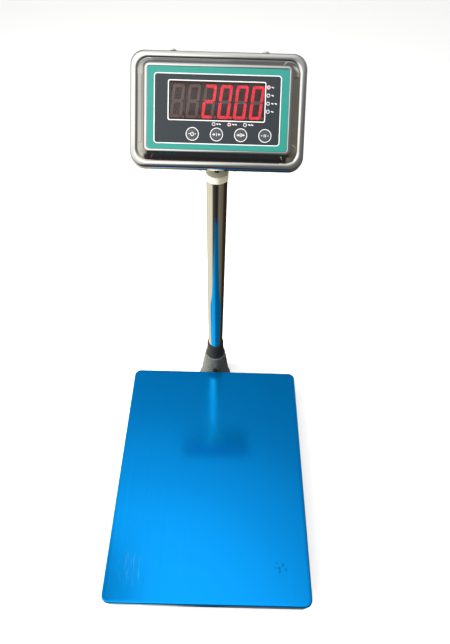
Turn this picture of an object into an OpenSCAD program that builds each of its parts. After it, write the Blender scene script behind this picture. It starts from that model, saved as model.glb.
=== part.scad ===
// Bench scale: a load-cell platform with a lift-off pan, a rear column and a tilting
// indicator. Millimetres, +Z up, floor at z = 0, X to the right, Y towards the column.

/* [Platform] */
// Width of the weighing pan, left to right
platform_width = 400; // [320:5:520]
// Depth of the weighing pan, front to back
platform_depth = 500; // [400:5:640]
// Corner radius of the pan
pan_corner_r = 15; // [8:1:30]
// Height of the pan's folded rim
pan_rim = 45; // [30:1:54]
// Pan sheet thickness
pan_sheet = 1.2; // [0.8:0.1:2.5]
// Thickness of the film that protects the pan
film_thickness = 0.3; // [0.2:0.05:0.6]
// Diameter of the rubber pads under the pan
pan_pad_d = 30; // [16:1:40]
// Height of the rubber pads under the pan
pan_pad_h = 4.5; // [3:0.5:10]

/* [Load frame] */
// Width of the load frame's tubes
frame_tube_w = 25; // [20:1:40]
// Height of the load frame's tubes
frame_tube_h = 20; // [16:1:30]
// Distance from the pan's edge to the centre of a side tube
frame_inset = 40; // [30:1:60]
// Tube wall, load frame and base
tube_wall = 2; // [1.5:0.1:3]
// Thickness of the load frame's mounting plate
mounting_plate_t = 5; // [4:0.5:10]

/* [Load cell] */
// Length of the single-point load cell
cell_length = 150; // [120:1:190]
// Width of the load cell
cell_width = 40; // [30:1:60]
// Height of the load cell
cell_height = 22; // [18:1:40]
// Thickness of the spacers over and under the load cell
cell_spacer_h = 4; // [3:0.5:8]
// Diameter of the load cell's bolts
cell_bolt_d = 8; // [6:1:10]

/* [Base] */
// Height of the base frame's underside above the floor
base_clearance = 24; // [20:1:40]
// Side of the base frame's square tube
base_tube = 25; // [20:1:40]
// Distance that the load frame sinks before it meets its stops
stop_gap = 1.2; // [1.1:0.1:2]
// Diameter of the overload stop screws
stop_screw_d = 8; // [6:1:10]
// Diameter of the levelling feet's rubber pads
foot_pad_d = 40; // [30:1:50]
// Height of the levelling feet's rubber pads
foot_pad_h = 10; // [6:1:11]
// Diameter of the levelling feet's studs
foot_stud_d = 10; // [8:1:12]

/* [Column] */
// Outer diameter of the column
column_d = 34; // [28:0.5:42]
// Wall of the column
column_wall = 1.5; // [1:0.1:3]
// Length of the column
column_length = 602; // [450:1:750]
// Distance of the column's axis behind the pan
column_setback = 40; // [38:1:60]
// Height of the column foot above the base frame's underside
foot_height = 159; // [130:1:185]
// Wall of the column foot's collar
collar_wall = 2.5; // [2:0.1:5]
// Diameter of the column foot at its base
foot_base_d = 79; // [72:1:90]
// Thickness of the bracket under the column foot
bracket_t = 6; // [4:0.5:10]

/* [Indicator] */
// Width of the indicator's front flange
indicator_width = 248; // [215:1:300]
// Height of the indicator's front flange
indicator_height = 158; // [140:1:200]
// Depth of the housing behind the flange
indicator_depth = 40; // [32:1:60]
// Slope of the front above the horizontal, in degrees
indicator_slope = 43; // [20:1:55]
// Corner radius of the flange
flange_corner_r = 20; // [14:1:30]
// Depth of the front shell's skirt
skirt_depth = 14; // [11:1:18]
// Height of the raised centre above the flange
plateau_rise = 7; // [4:0.5:12]
// Sheet thickness of the shells
shell_t = 1; // [0.8:0.1:2]
// Width of the printed front panel
overlay_w = 197; // [180:1:215]
// Height of the printed front panel
overlay_h = 110; // [100:1:130]
// Thickness of the printed front panel
overlay_t = 0.6; // [0.4:0.1:1]

/* [Display and keys] */
// Width of the display window
window_w = 134; // [120:1:140]
// Height of the display window
window_h = 51.5; // [40:0.5:56]
// Distance between digits
digit_pitch = 22.2; // [18:0.1:22.4]
// Number of digits
digit_count = 6; // [5:1:6]
// Diameter of a key
key_d = 18.5; // [14:0.5:20]
// Distance between keys
key_pitch = 34; // [26:0.5:34]
// Travel of a key
key_travel = 0.4; // [0.2:0.1:0.6]

/* [Fits] */
// Radial clearance of a shaft that turns or slides in its bore
running_fit = 0.05; // [0.02:0.01:0.1]
// Clearance between pieces that only pass each other
gap = 0.3; // [0.2:0.05:0.5]

/* [Hidden] */
$fn = 64;

// Heights, stacked from the floor
base_top = base_clearance + base_tube;
cell_z = base_top + cell_spacer_h;
cell_top = cell_z + cell_height;
frame_z = cell_top + cell_spacer_h;
frame_top = frame_z + frame_tube_h;
pan_under = frame_top + pan_pad_h;
sheet_top = pan_under + pan_sheet;
platform_top = sheet_top + film_thickness;
rim_z = platform_top - pan_rim;

// Column and foot
bracket_z = base_clearance - bracket_t;
foot_top = base_clearance + foot_height;
socket_z = base_top + 12;
column_top = socket_z + column_length;
column_r = column_d / 2;
collar_r = column_r + running_fit + collar_wall;
foot_base_r = foot_base_d / 2;
foot_bolt_d = 8;
foot_bolt_circle_r = foot_base_r - 10;
foot_bolt_reach = 14;
foot_hollow_r = column_r - 4;
socket_r = column_r + running_fit;
clamp_face_r = foot_base_r - 9.2;
foot_shoulder_z = platform_top + 32;
foot_waist_z = platform_top - 15;
foot_waist_r = foot_base_r - 8.8;
foot_neck_z = base_clearance + 16;
foot_neck_r = foot_base_r - 3;
clamp_z = platform_top - 8;
grommet_z = base_top + 3;

// Swivel head
head_skirt = 8;
head_roof = 4;
head_wall = 1.25;
head_top = column_top + head_roof;
head_arm_t = 6;
head_inner_w = 48;
head_plate_t = 5;
hinge_rise = 14;
hinge_back = 10;
hinge_r = 9;
hinge_bolt_d = 6;
arm_t = 3;
hinge_z = head_top + hinge_rise;
hinge_drop = 53;
hinge_gap = 17.7;

// Indicator depths, measured outwards from the flange's front face
plateau_top = plateau_rise;
panel_seat = plateau_rise - overlay_t;
board_t = 1.6;
board_top = panel_seat - 9.8;
back_w = -indicator_depth;
back_chamfer = 20;
back_edge_in = back_chamfer * 0.4;
back_edge_up = back_chamfer * 0.3;
rear_w = indicator_width - 2 * (shell_t + gap);
rear_h = indicator_height - 2 * (shell_t + gap);
gasket_t = 1;
panel_rim = 2.6;
plateau_w = overlay_w + 2 * panel_rim;
plateau_h = overlay_h + 2 * panel_rim;
flange_band = 10.8;
window_x = -1.7;
window_y = 10.7;
digit_x = window_x + 0.8;
window_r = 1.5;
key_y = -34;
key_x0 = -35;
lamp_d = 3;
case_screw_x = 65;
case_screw_w = -7;
case_screw_d = 5;

// Places, with the whole object centred over the origin
column_back = platform_depth / 2 + column_setback;
upright = [0, cos(indicator_slope), sin(indicator_slope)];
outward = [0, -sin(indicator_slope), cos(indicator_slope)];
indicator_reach = column_back + hinge_back
    + upright[1] * (hinge_drop + rear_h / 2 - back_edge_in) + outward[1] * (hinge_gap + back_edge_up);
platform_y = (platform_depth / 2 - indicator_reach) / 2;
column_y = platform_y + column_back;
hinge_y = column_y + hinge_back;
frame_x = platform_width / 2 - frame_inset;
frame_reach = platform_depth / 2 - 25;
base_reach = platform_depth / 2 - 20;
foot_y = base_reach - 15;
stop_y = foot_y - 45;
cross_x = frame_x - frame_tube_w / 2;
cross_tube_y = cell_length / 2 + 5;
cell_bolt_y = [cell_length / 2 - 15, cell_length / 2 - 40];
rail_y = base_reach - base_tube / 2;
tap_d = 6.8;
corners = [[-1, -1], [1, -1], [-1, 1], [1, 1]];

// Signal cable: from the load cell over the rear rail, into the foot and up the column.
// Each point is [distance behind the pan's centre, height].
cable_d = 5;
cable_route = [
    [75.2, 64], [84, 63.5], [92, 61], [100, 57], [108, 53.5], [118, 52.2], [132, 52], [150, 52],
    [175, 52], [200, 52], [225, 52], [252, 52], [266, 52], [274, 52.5], [281, 55], [286, 59.5],
    [289, 66], [290, 74], [290, 90], [290, 140], [290, 220], [290, 300], [290, 380], [290, 460],
    [290, 540], [290, 600], [290, 640], [290, 662.7]
];
// The loop from the swivel head to the indicator's gland, seen from the column's top centre
loop_route = [
    [0, 0], [0, 6], [0.6, 12], [2.6, 18], [6.6, 23.5], [12.5, 27.5], [19.5, 29.7], [27, 30.3],
    [34.5, 30], [42, 30], [49.4, 31], [56.2, 34.2], [60.6, 39.4], [61.5, 45.2], [59.44, 50.02],
    [56.03, 53.68], [51.94, 58.07], [46.49, 63.92]
];

function along(p, i) =
    let (a = p[max(i - 1, 0)], b = p[min(i + 1, len(p) - 1)], d = b - a) d / norm(d);

// ---------------------------------------------------------------- shared shapes

module rounded_rect(w, h, r) {
    square([w - 2 * r, h], center = true);
    square([w, h - 2 * r], center = true);
    for (c = corners)
        translate([c[0] * (w / 2 - r), c[1] * (h / 2 - r)]) circle(r);
}

module rounded_plate(w, h, r, z, t) {
    translate([0, 0, z]) linear_extrude(t) rounded_rect(w, h, r);
}

// A rectangular tube along Y, centred on x = 0, y = 0, with its underside at z = 0
module tube_along_y(length, w, h, wall) {
    difference() {
        translate([-w / 2, -length / 2, 0]) cube([w, length, h]);
        translate([-w / 2 + wall, -length / 2 - 1, wall])
            cube([w - 2 * wall, length + 2, h - 2 * wall]);
    }
}

module tube_along_x(length, w, h, wall) {
    rotate([0, 0, 90]) tube_along_y(length, w, h, wall);
}

// A hexagon whose flats are the given width apart
module hexagon(flats, height) {
    cylinder(d = flats / cos(30), h = height, $fn = 6);
}

// A plain screw: a shank up +Z from z = 0 with a hexagon head below it
module hex_bolt(d, shank, flats, head) {
    cylinder(d = d, h = shank);
    translate([0, 0, -head]) hexagon(flats, head);
}

module nut(bore_d, flats, height) {
    difference() {
        hexagon(flats, height);
        translate([0, 0, -1]) cylinder(d = bore_d, h = height + 2);
    }
}

// A tube of eight sides along a route of [y, z] points that lies in one upright plane
module cable(route, d) {
    sides = 8;
    n = len(route);
    ring = [
        for (i = [0:n - 1])
            let (t = along(route, i), side = [-t[1], t[0]])
                for (k = [0:sides - 1])
                    let (a = 360 * (k + 0.5) / sides, off = d / 2 * sin(a) * side)
                        [d / 2 * cos(a), route[i][0] + off[0], route[i][1] + off[1]]
    ];
    walls = [
        for (i = [0:n - 2], k = [0:sides - 1])
            let (a = i * sides + k, b = i * sides + (k + 1) % sides)
                [a, b, b + sides, a + sides]
    ];
    first = [for (k = [sides - 1:-1:0]) k];
    last = [for (k = [0:sides - 1]) (n - 1) * sides + k];
    polyhedron(points = ring, faces = concat([first], walls, [last]));
}

// Everything on the platform is placed from the pan's centre
module at_platform() {
    translate([0, platform_y, 0]) children();
}

// The column's axis, at floor height
module at_column() {
    translate([0, column_y, 0]) children();
}

// The middle of the flange's front face: x to the right, y up the slope, z outwards
module on_face() {
    translate([0, hinge_y, hinge_z])
        rotate([indicator_slope, 0, 0])
            translate([0, hinge_drop, indicator_depth + hinge_gap])
                children();
}

// ---------------------------------------------------------------- pan

module pan_form(grow, top, t) {
    w = platform_width - 2 * film_thickness + 2 * grow;
    h = platform_depth - 2 * film_thickness + 2 * grow;
    r = pan_corner_r - film_thickness + grow;
    difference() {
        rounded_plate(w, h, r, rim_z, top - rim_z);
        rounded_plate(w - 2 * t, h - 2 * t, r - t, rim_z - 1, top - rim_z + 1 - t);
    }
}

module pan() {
    color("silver") at_platform() pan_form(0, sheet_top, pan_sheet);
}

module protective_film() {
    color("dodgerblue") at_platform() pan_form(film_thickness, platform_top, film_thickness);
}

module pan_pads() {
    color("black") at_platform()
        for (c = corners)
            translate([c[0] * frame_x, c[1] * (frame_reach - 30), frame_top])
                cylinder(d = min(pan_pad_d, frame_tube_w), h = pan_pad_h);
}

// ---------------------------------------------------------------- load frame and load cell

module load_frame_side_tubes() {
    color("slategray") at_platform()
        for (s = [-1, 1])
            translate([s * frame_x, 0, frame_z])
                tube_along_y(2 * frame_reach, frame_tube_w, frame_tube_h, tube_wall);
}

module load_frame_cross_tubes() {
    color("slategray") at_platform()
        for (s = [-1, 1])
            translate([0, s * cross_tube_y, frame_z])
                tube_along_x(2 * cross_x, frame_tube_w, frame_tube_h, tube_wall);
}

module load_frame_plate() {
    span = 2 * cross_tube_y - frame_tube_w;
    color("slategray") at_platform()
        difference() {
            translate([-cell_width, -span / 2, frame_z]) cube([2 * cell_width, span, mounting_plate_t]);
            for (y = cell_bolt_y)
                translate([0, -y, frame_z - 1])
                    cylinder(d = cell_bolt_d + 2 * gap, h = mounting_plate_t + 2);
        }
}

// A single-point cell: the two thin webs bend as a parallelogram when the front end is loaded
module load_cell() {
    hole_d = cell_height * 0.62;
    pitch = hole_d * 0.8;
    color("gainsboro") at_platform()
        difference() {
            translate([-cell_width / 2, -cell_length / 2, cell_z])
                cube([cell_width, cell_length, cell_height]);
            for (y = [-1.2, -0.4, 0.4, 1.2])
                translate([-cell_width, y * pitch, cell_z + cell_height / 2])
                    rotate([0, 90, 0]) cylinder(d = hole_d, h = 2 * cell_width);
            for (y = cell_bolt_y, s = [-1, 1])
                translate([0, s * y, cell_z - 1])
                    cylinder(d = cell_bolt_d + 2 * gap, h = cell_height + 2);
        }
}

module cell_spacer(side, z) {
    length = cell_length / 2 - 25;
    at_platform()
        difference() {
            translate([-cell_width / 2, side > 0 ? 25 : -cell_length / 2, z])
                cube([cell_width, length, cell_spacer_h]);
            for (y = cell_bolt_y)
                translate([0, side * y, z - 1])
                    cylinder(d = cell_bolt_d + 2 * gap, h = cell_spacer_h + 2);
        }
}

module load_cell_lower_spacer() {
    color("dimgray") cell_spacer(1, base_top);
}

module load_cell_upper_spacer() {
    color("dimgray") cell_spacer(-1, cell_top);
}

module load_cell_lower_bolts() {
    grip = base_tube - tube_wall;
    color("silver") at_platform()
        for (y = cell_bolt_y)
            translate([0, y, base_clearance + tube_wall + 6])
                hex_bolt(cell_bolt_d, grip - 6 + cell_spacer_h + cell_height * 0.8,
                    cell_bolt_d * 1.6, 6);
}

module load_cell_upper_bolts() {
    color("silver") at_platform()
        for (y = cell_bolt_y)
            translate([0, -y, frame_z + mounting_plate_t])
                mirror([0, 0, 1])
                    hex_bolt(cell_bolt_d, mounting_plate_t + cell_spacer_h + cell_height * 0.8,
                        cell_bolt_d * 1.6, 6);
}

// ---------------------------------------------------------------- base

module base_side_rails() {
    color("slategray") at_platform()
        for (s = [-1, 1])
            difference() {
                translate([s * frame_x, 0, base_clearance])
                    tube_along_y(2 * base_reach, base_tube, base_tube, tube_wall);
                for (t = [-1, 1]) {
                    translate([s * frame_x, t * foot_y, 0])
                        cylinder(r = foot_stud_d / 2 + running_fit, h = base_top + 1);
                    translate([s * frame_x, t * stop_y, base_clearance + tube_wall])
                        cylinder(d = stop_screw_d + 2 * running_fit, h = base_tube);
                }
            }
}

module base_cross_rails() {
    length = 2 * frame_x - base_tube;
    color("slategray") at_platform()
        for (s = [-1, 1])
            translate([0, s * rail_y, base_clearance])
                tube_along_x(length, base_tube, base_tube, tube_wall);
}

module base_centre_beam() {
    length = 2 * rail_y - base_tube;
    w = cell_width + 10;
    color("slategray") at_platform()
        difference() {
            translate([0, 0, base_clearance]) tube_along_y(length, w, base_tube, tube_wall);
            for (y = cell_bolt_y) {
                translate([0, y, base_top - tube_wall - 1])
                    cylinder(d = cell_bolt_d + 2 * gap, h = tube_wall + 2);
                translate([0, y, base_clearance - 1]) cylinder(d = 20, h = tube_wall + 2);
            }
        }
}

// Plastic plugs that close the side rails' open ends
module rail_end_caps() {
    inner = base_tube - 2 * tube_wall - gap;
    color("black") at_platform()
        for (c = corners)
            translate([c[0] * frame_x, c[1] * base_reach, base_clearance + base_tube / 2])
                rotate([-90 * c[1], 0, 0]) {
                    translate([-base_tube / 2, -base_tube / 2, 0]) cube([base_tube, base_tube, 2]);
                    translate([-inner / 2, -inner / 2, -7]) cube([inner, inner, 7]);
                }
}

module overload_stops() {
    color("silver") at_platform()
        for (c = corners)
            translate([c[0] * frame_x, c[1] * stop_y, base_clearance + tube_wall + 4])
                cylinder(d = stop_screw_d, h = frame_z - stop_gap - base_clearance - tube_wall - 4);
}

module overload_stop_nuts() {
    color("silver") at_platform()
        for (c = corners)
            translate([c[0] * frame_x, c[1] * stop_y, base_top])
                nut(stop_screw_d + 2 * running_fit, stop_screw_d * 1.6, stop_screw_d * 0.8);
}

module at_foot(side, end) {
    at_platform() translate([side * frame_x, end * foot_y, 0]) children();
}

module foot_pad(side, end) {
    color("black") at_foot(side, end)
        difference() {
            union() {
                cylinder(d = foot_pad_d, h = foot_pad_h * 0.6);
                translate([0, 0, foot_pad_h * 0.6])
                    cylinder(d1 = foot_pad_d, d2 = foot_pad_d * 0.6, h = foot_pad_h * 0.4);
            }
            translate([0, 0, foot_pad_h * 0.4]) cylinder(d = foot_stud_d, h = foot_pad_h);
        }
}

module foot_stud(side, end) {
    color("silver") at_foot(side, end)
        translate([0, 0, foot_pad_h * 0.4]) cylinder(d = foot_stud_d, h = base_top + 9 - foot_pad_h * 0.4);
}

module foot_pad_front_left() { foot_pad(-1, -1); }
module foot_pad_front_right() { foot_pad(1, -1); }
module foot_pad_rear_left() { foot_pad(-1, 1); }
module foot_pad_rear_right() { foot_pad(1, 1); }
module foot_stud_front_left() { foot_stud(-1, -1); }
module foot_stud_front_right() { foot_stud(1, -1); }
module foot_stud_rear_left() { foot_stud(-1, 1); }
module foot_stud_rear_right() { foot_stud(1, 1); }

module levelling_lock_nuts() {
    height = 5;
    color("silver")
        for (c = corners)
            at_foot(c[0], c[1])
                translate([0, 0, base_clearance - height])
                    nut(foot_stud_d + 2 * running_fit, foot_stud_d * 1.6, height);
}

level_x = 100;
level_d = 18;
level_h = 8;

module bubble_level_body() {
    color("dimgray") at_platform()
        translate([level_x, rail_y, base_top])
            difference() {
                cylinder(d = level_d, h = level_h);
                translate([0, 0, 2]) cylinder(d = level_d - 3, h = level_h);
            }
}

module bubble_level_vial() {
    color("yellowgreen") at_platform()
        translate([level_x, rail_y, base_top + 2]) cylinder(d = level_d - 3, h = level_h - 2.5);
}

// ---------------------------------------------------------------- column

module column_bracket() {
    front = platform_y + rail_y - base_tube / 2 - 30;
    color("slategray")
        difference() {
            translate([0, 0, bracket_z])
                linear_extrude(bracket_t) {
                    translate([-foot_base_r - 2, front])
                        square([foot_base_d + 4, column_y - front]);
                    translate([0, column_y]) circle(foot_base_r + 2);
                }
            at_foot_bolts() translate([0, 0, bracket_z - 1])
                cylinder(d = foot_bolt_d + 2 * gap, h = bracket_t + 2);
        }
}

module at_foot_bolts() {
    at_column()
        for (a = [45:90:315])
            rotate([0, 0, a]) translate([foot_bolt_circle_r, 0, 0]) children();
}

// A tall cast cone under a smooth collar, bored for the column and hollow below it
module column_foot() {
    color("dimgray")
        difference() {
            at_column()
                rotate_extrude()
                    polygon([
                        [foot_hollow_r, base_clearance], [foot_base_r, base_clearance],
                        [foot_base_r, base_clearance + 6],
                        [foot_neck_r, foot_neck_z], [foot_waist_r, foot_waist_z],
                        [foot_base_r - 11.3, foot_shoulder_z - 28],
                        [foot_base_r - 15.2, foot_shoulder_z - 1.5],
                        [foot_base_r - 16.9, foot_shoulder_z],
                        [collar_r + 1.2, foot_shoulder_z + 13],
                        [collar_r + 0.3, foot_shoulder_z + 28],
                        [collar_r, foot_top - 1], [collar_r - 1, foot_top],
                        [socket_r, foot_top], [socket_r, socket_z], [foot_hollow_r, socket_z]
                    ]);
            at_foot_bolts() translate([0, 0, base_clearance - 1])
                cylinder(d = foot_bolt_d + 2 * running_fit, h = foot_bolt_reach + 3);
            translate([0, column_y, grommet_z]) rotate([90, 0, 0]) cylinder(d = 9, h = foot_base_d);
            translate([0, column_y, clamp_z]) rotate([90, 0, 0])
                cylinder(d = foot_bolt_d + 2 * running_fit, h = foot_base_d);
        }
}

module column_foot_bolts() {
    color("silver")
        at_foot_bolts() translate([0, 0, bracket_z])
            hex_bolt(foot_bolt_d, bracket_t + foot_bolt_reach, foot_bolt_d * 1.6, 5);
}

module column_clamp_screw() {
    reach = clamp_face_r - column_r + 0.5;
    color("black")
        translate([0, column_y - column_r - 0.02, clamp_z]) rotate([90, 0, 0]) {
            cylinder(d = foot_bolt_d, h = reach);
            translate([0, 0, reach]) cylinder(d = foot_bolt_d * 1.5, h = 2);
            translate([0, 0, reach + 2]) hexagon(foot_bolt_d * 1.25, 4);
        }
}

module column_tube() {
    color("lightgray") at_column()
        translate([0, 0, socket_z])
            difference() {
                cylinder(r = column_r, h = column_length);
                translate([0, 0, -1]) cylinder(r = column_r - column_wall, h = column_length + 2);
            }
}

module cable_grommet() {
    rise = (grommet_z - foot_neck_z) / (foot_waist_z - foot_neck_z);
    face = foot_neck_r + rise * (foot_waist_r - foot_neck_r);
    color("black")
        translate([0, column_y - face + 6, grommet_z]) rotate([90, 0, 0])
            difference() {
                union() {
                    cylinder(d = 9, h = 8);
                    translate([0, 0, 8]) cylinder(d = 13, h = 2);
                }
                translate([0, 0, -1]) cylinder(d = cable_d + 2 * gap, h = 12);
            }
}

// ---------------------------------------------------------------- swivel head and tilt hinge

// A cap that turns on the column, with two ears that carry the tilt hinge
module swivel_head() {
    out_r = column_r + running_fit + head_wall;
    head_w = head_inner_w + 2 * head_arm_t;
    color("wheat") at_column()
        difference() {
            union() {
                translate([0, 0, column_top - head_skirt]) cylinder(r = out_r, h = head_skirt + head_roof);
                translate([-head_w / 2, hinge_back - hinge_r, head_top]) cube([head_w, 2 * hinge_r, head_plate_t]);
                for (s = [-1, 1])
                    translate([s * (head_inner_w + head_arm_t) / 2 - head_arm_t / 2, hinge_back, head_top]) {
                        translate([0, -hinge_r, 0]) cube([head_arm_t, 2 * hinge_r, hinge_rise]);
                        translate([0, 0, hinge_rise]) rotate([0, 90, 0])
                            cylinder(r = hinge_r, h = head_arm_t);
                    }
            }
            translate([0, 0, column_top - head_skirt - 1])
                cylinder(r = column_r + running_fit, h = head_skirt + 1);
            cylinder(d = cable_d + 4, h = head_top + head_plate_t + 1);
            translate([-head_w, hinge_back, hinge_z]) rotate([0, 90, 0])
                cylinder(r = hinge_bolt_d / 2 + running_fit, h = 2 * head_w);
        }
}

bolt_head_t = 4;
bolt_out = head_inner_w / 2 + head_arm_t;
knob_d = 24;
knob_t = 14;

// One bolt a side: its head lies inside the bracket's arm and its end takes the knob
module tilt_bolts() {
    inner = head_inner_w / 2 - gap - arm_t - gap;
    color("silver") translate([0, hinge_y, hinge_z])
        for (s = [0, 1])
            mirror([s, 0, 0]) translate([inner, 0, 0]) rotate([0, 90, 0]) {
                cylinder(d = hinge_bolt_d, h = bolt_out - inner + knob_t - 4);
                translate([0, 0, -bolt_head_t]) hexagon(hinge_bolt_d * 1.6, bolt_head_t);
            }
}

// A lobed knob, bored for its bolt
module tilt_knob(s) {
    color("black") translate([0, hinge_y, hinge_z])
        mirror([s, 0, 0]) translate([bolt_out + gap, 0, 0]) rotate([0, 90, 0])
            difference() {
                union() {
                    cylinder(d = 13, h = 3);
                    translate([0, 0, 3]) linear_extrude(knob_t - 3) {
                        circle(d = knob_d - 6);
                        for (a = [0:60:300])
                            rotate([0, 0, a]) translate([knob_d / 2 - 4, 0]) circle(4);
                    }
                }
                translate([0, 0, -1]) cylinder(r = hinge_bolt_d / 2 + running_fit, h = knob_t - 2);
            }
}

module tilt_knob_left() { tilt_knob(1); }
module tilt_knob_right() { tilt_knob(0); }

bracket_drop = 11;
bracket_rise = 26;
bracket_w = 58;
plate_screw_x = 14;
plate_screw_y = [8, 21];

// A plate on the housing's back with two arms down to the hinge bolts
module tilt_bracket() {
    arm_x = head_inner_w / 2 - gap - arm_t;
    color("silver") on_face()
        translate([0, -hinge_drop, back_w])
            difference() {
                union() {
                    translate([-bracket_w / 2, -bracket_drop + 4, -arm_t])
                        cube([bracket_w, bracket_drop + bracket_rise - 4, arm_t]);
                    for (s = [-1, 1])
                        translate([s * (arm_x + arm_t / 2) - arm_t / 2, 0, 0]) {
                            translate([0, -hinge_r, -hinge_gap]) cube([arm_t, 2 * hinge_r, hinge_gap]);
                            translate([0, 0, -hinge_gap]) rotate([0, 90, 0])
                                cylinder(r = hinge_r - 1, h = arm_t);
                        }
                }
                translate([-bracket_w, 0, -hinge_gap]) rotate([0, 90, 0])
                    cylinder(r = hinge_bolt_d / 2 + running_fit, h = 2 * bracket_w);
                for (x = [-1, 1], y = plate_screw_y)
                    translate([x * plate_screw_x, y, -arm_t - 1]) cylinder(d = 4 + 2 * gap, h = arm_t + 2);
            }
}

module tilt_bracket_screws() {
    color("silver") on_face()
        translate([0, -hinge_drop, back_w])
            for (x = [-1, 1], y = plate_screw_y)
                translate([x * plate_screw_x, y, -arm_t]) {
                    cylinder(d = 4, h = arm_t + shell_t + 4);
                    translate([0, 0, -2.4]) cylinder(d = 7.5, h = 2.4);
                }
}

// ---------------------------------------------------------------- indicator shells

// The raised centre: a frustum from the flange to the plateau
module raised_centre(inset, top) {
    hull() {
        rounded_plate(indicator_width - 2 * (flange_band + inset),
            indicator_height - 2 * (flange_band + inset), flange_corner_r - 5 - inset, -0.5, 0.5, $fn = 32);
        rounded_plate(plateau_w + 12 - 2 * inset, plateau_h + 12 - 2 * inset, 9 - inset, top - 1.5, 0.5,
            $fn = 32);
        rounded_plate(plateau_w - 2 * inset, plateau_h - 2 * inset, 5 - inset / 2, top - 0.5, 0.5, $fn = 32);
    }
}

module at_keys() {
    for (i = [0:3]) translate([key_x0 + i * key_pitch, key_y, 0]) children();
}

// Four lamps beside the digits and three below them
module at_lamps() {
    for (i = [0:3]) translate([69.8, 30.6 - 10.7 * i, 0]) children();
    for (i = [0:2]) translate([-5.3 + 21.9 * i, -20, 0]) children();
}

module case_screw_holes(d) {
    for (x = [-1, 1])
        translate([x * case_screw_x, 0, case_screw_w]) rotate([-90, 0, 0])
            cylinder(d = d, h = indicator_height);
}

module front_shell() {
    t = shell_t;
    color("gainsboro") on_face()
        difference() {
            union() {
                rounded_plate(indicator_width, indicator_height, flange_corner_r, -skirt_depth, skirt_depth);
                raised_centre(0, plateau_top);
            }
            rounded_plate(indicator_width - 2 * t, indicator_height - 2 * t, flange_corner_r - t,
                -skirt_depth - 1, skirt_depth + 1 - t);
            translate([0, 0, -t]) raised_centre(t, panel_seat);
            rounded_plate(overlay_w + 2 * gap, overlay_h + 2 * gap, 4 + gap, panel_seat, 2);
            translate([window_x, window_y, 0]) rounded_plate(window_w - 2, window_h - 2, window_r, -5, 20);
            at_keys() translate([0, 0, -5]) cylinder(d = key_d + 4 * gap, h = 20);
            at_lamps() translate([0, 0, -5]) cylinder(d = lamp_d + 2 * gap, h = 20);
            case_screw_holes(case_screw_d + 2 * gap);
        }
}

module rear_form(inset) {
    w = rear_w - 2 * inset;
    h = rear_h - 2 * inset;
    r = flange_corner_r - shell_t - gap - inset;
    bottom = back_w + inset;
    hull() {
        rounded_plate(w, h, r, bottom + back_chamfer, indicator_depth - back_chamfer - gasket_t - shell_t,
            $fn = 32);
        rounded_plate(w - 2 * back_edge_in, h - 2 * back_edge_in, r - back_edge_in, bottom + back_edge_up, 1,
            $fn = 32);
        rounded_plate(w - 2 * back_chamfer, h - 2 * back_chamfer, r - back_chamfer * 0.7, bottom, 1,
            $fn = 32);
    }
}

gland_y = 5;
socket_x = -70;
socket_y = -45;

module rear_shell() {
    color("gainsboro") on_face()
        difference() {
            rear_form(0);
            rear_form(shell_t);
            rounded_plate(rear_w - 2 * shell_t, rear_h - 2 * shell_t, flange_corner_r - 2 * shell_t - gap,
                -6, 8);
            translate([0, gland_y, back_w - 1]) cylinder(d = 12 + 2 * gap, h = shell_t + 2);
            translate([socket_x, socket_y, back_w - 1]) cylinder(d = 8 + 2 * gap, h = shell_t + 2);
            translate([0, -hinge_drop, back_w - 1])
                for (x = [-1, 1], y = plate_screw_y)
                    translate([x * plate_screw_x, y, 0]) cylinder(d = 4 + 2 * gap, h = shell_t + 2);
            case_screw_holes(case_screw_d + 2 * gap);
        }
}

module shell_gasket() {
    color("dimgray") on_face()
        difference() {
            rounded_plate(rear_w, rear_h, flange_corner_r - shell_t - gap, -shell_t - gasket_t, gasket_t);
            rounded_plate(rear_w - 6, rear_h - 6, flange_corner_r - shell_t - gap - 3,
                -shell_t - gasket_t - 1, gasket_t + 2);
        }
}

// ---------------------------------------------------------------- front panel, display and keys

module overlay_panel() {
    color("mediumseagreen") on_face()
        difference() {
            rounded_plate(overlay_w, overlay_h, 4, panel_seat, overlay_t);
            translate([window_x, window_y, 0])
                rounded_plate(window_w, window_h, window_r, panel_seat - 1, overlay_t + 2);
            at_keys() translate([0, 0, panel_seat - 1]) cylinder(d = key_d + 2 * gap, h = overlay_t + 2);
            at_lamps() translate([0, 0, panel_seat - 1]) cylinder(d = lamp_d, h = overlay_t + 2);
        }
}

module display_window() {
    color("darkred") on_face()
        translate([window_x, window_y, 0])
            rounded_plate(window_w - 2 * gap, window_h - 2 * gap, window_r - gap, panel_seat, overlay_t);
}

module key(i) {
    color("darkslategray") on_face()
        translate([key_x0 + i * key_pitch, key_y, panel_seat]) cylinder(d = key_d, h = overlay_t);
}

module key_power() { key(0); }
module key_tare() { key(1); }
module key_zero() { key(2); }
module key_hold() { key(3); }

module key_switches() {
    top = panel_seat - key_travel - 0.1;
    color("black") on_face()
        at_keys() {
            translate([-3, -3, board_top]) cube([6, 6, 3.5]);
            translate([0, 0, board_top + 3.5]) cylinder(d = 3.4, h = top - board_top - 3.5);
        }
}

standoff_x = overlay_w / 2 - 8;
standoff_y = overlay_h / 2 - 6;

module display_board() {
    color("seagreen") on_face()
        difference() {
            translate([-overlay_w / 2 + 3, -overlay_h / 2 + 1, board_top - board_t])
                cube([overlay_w - 6, overlay_h - 2, board_t]);
            for (c = corners)
                translate([c[0] * standoff_x, c[1] * standoff_y, board_top - board_t - 1])
                    cylinder(d = 3.4, h = board_t + 2);
        }
}

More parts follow.
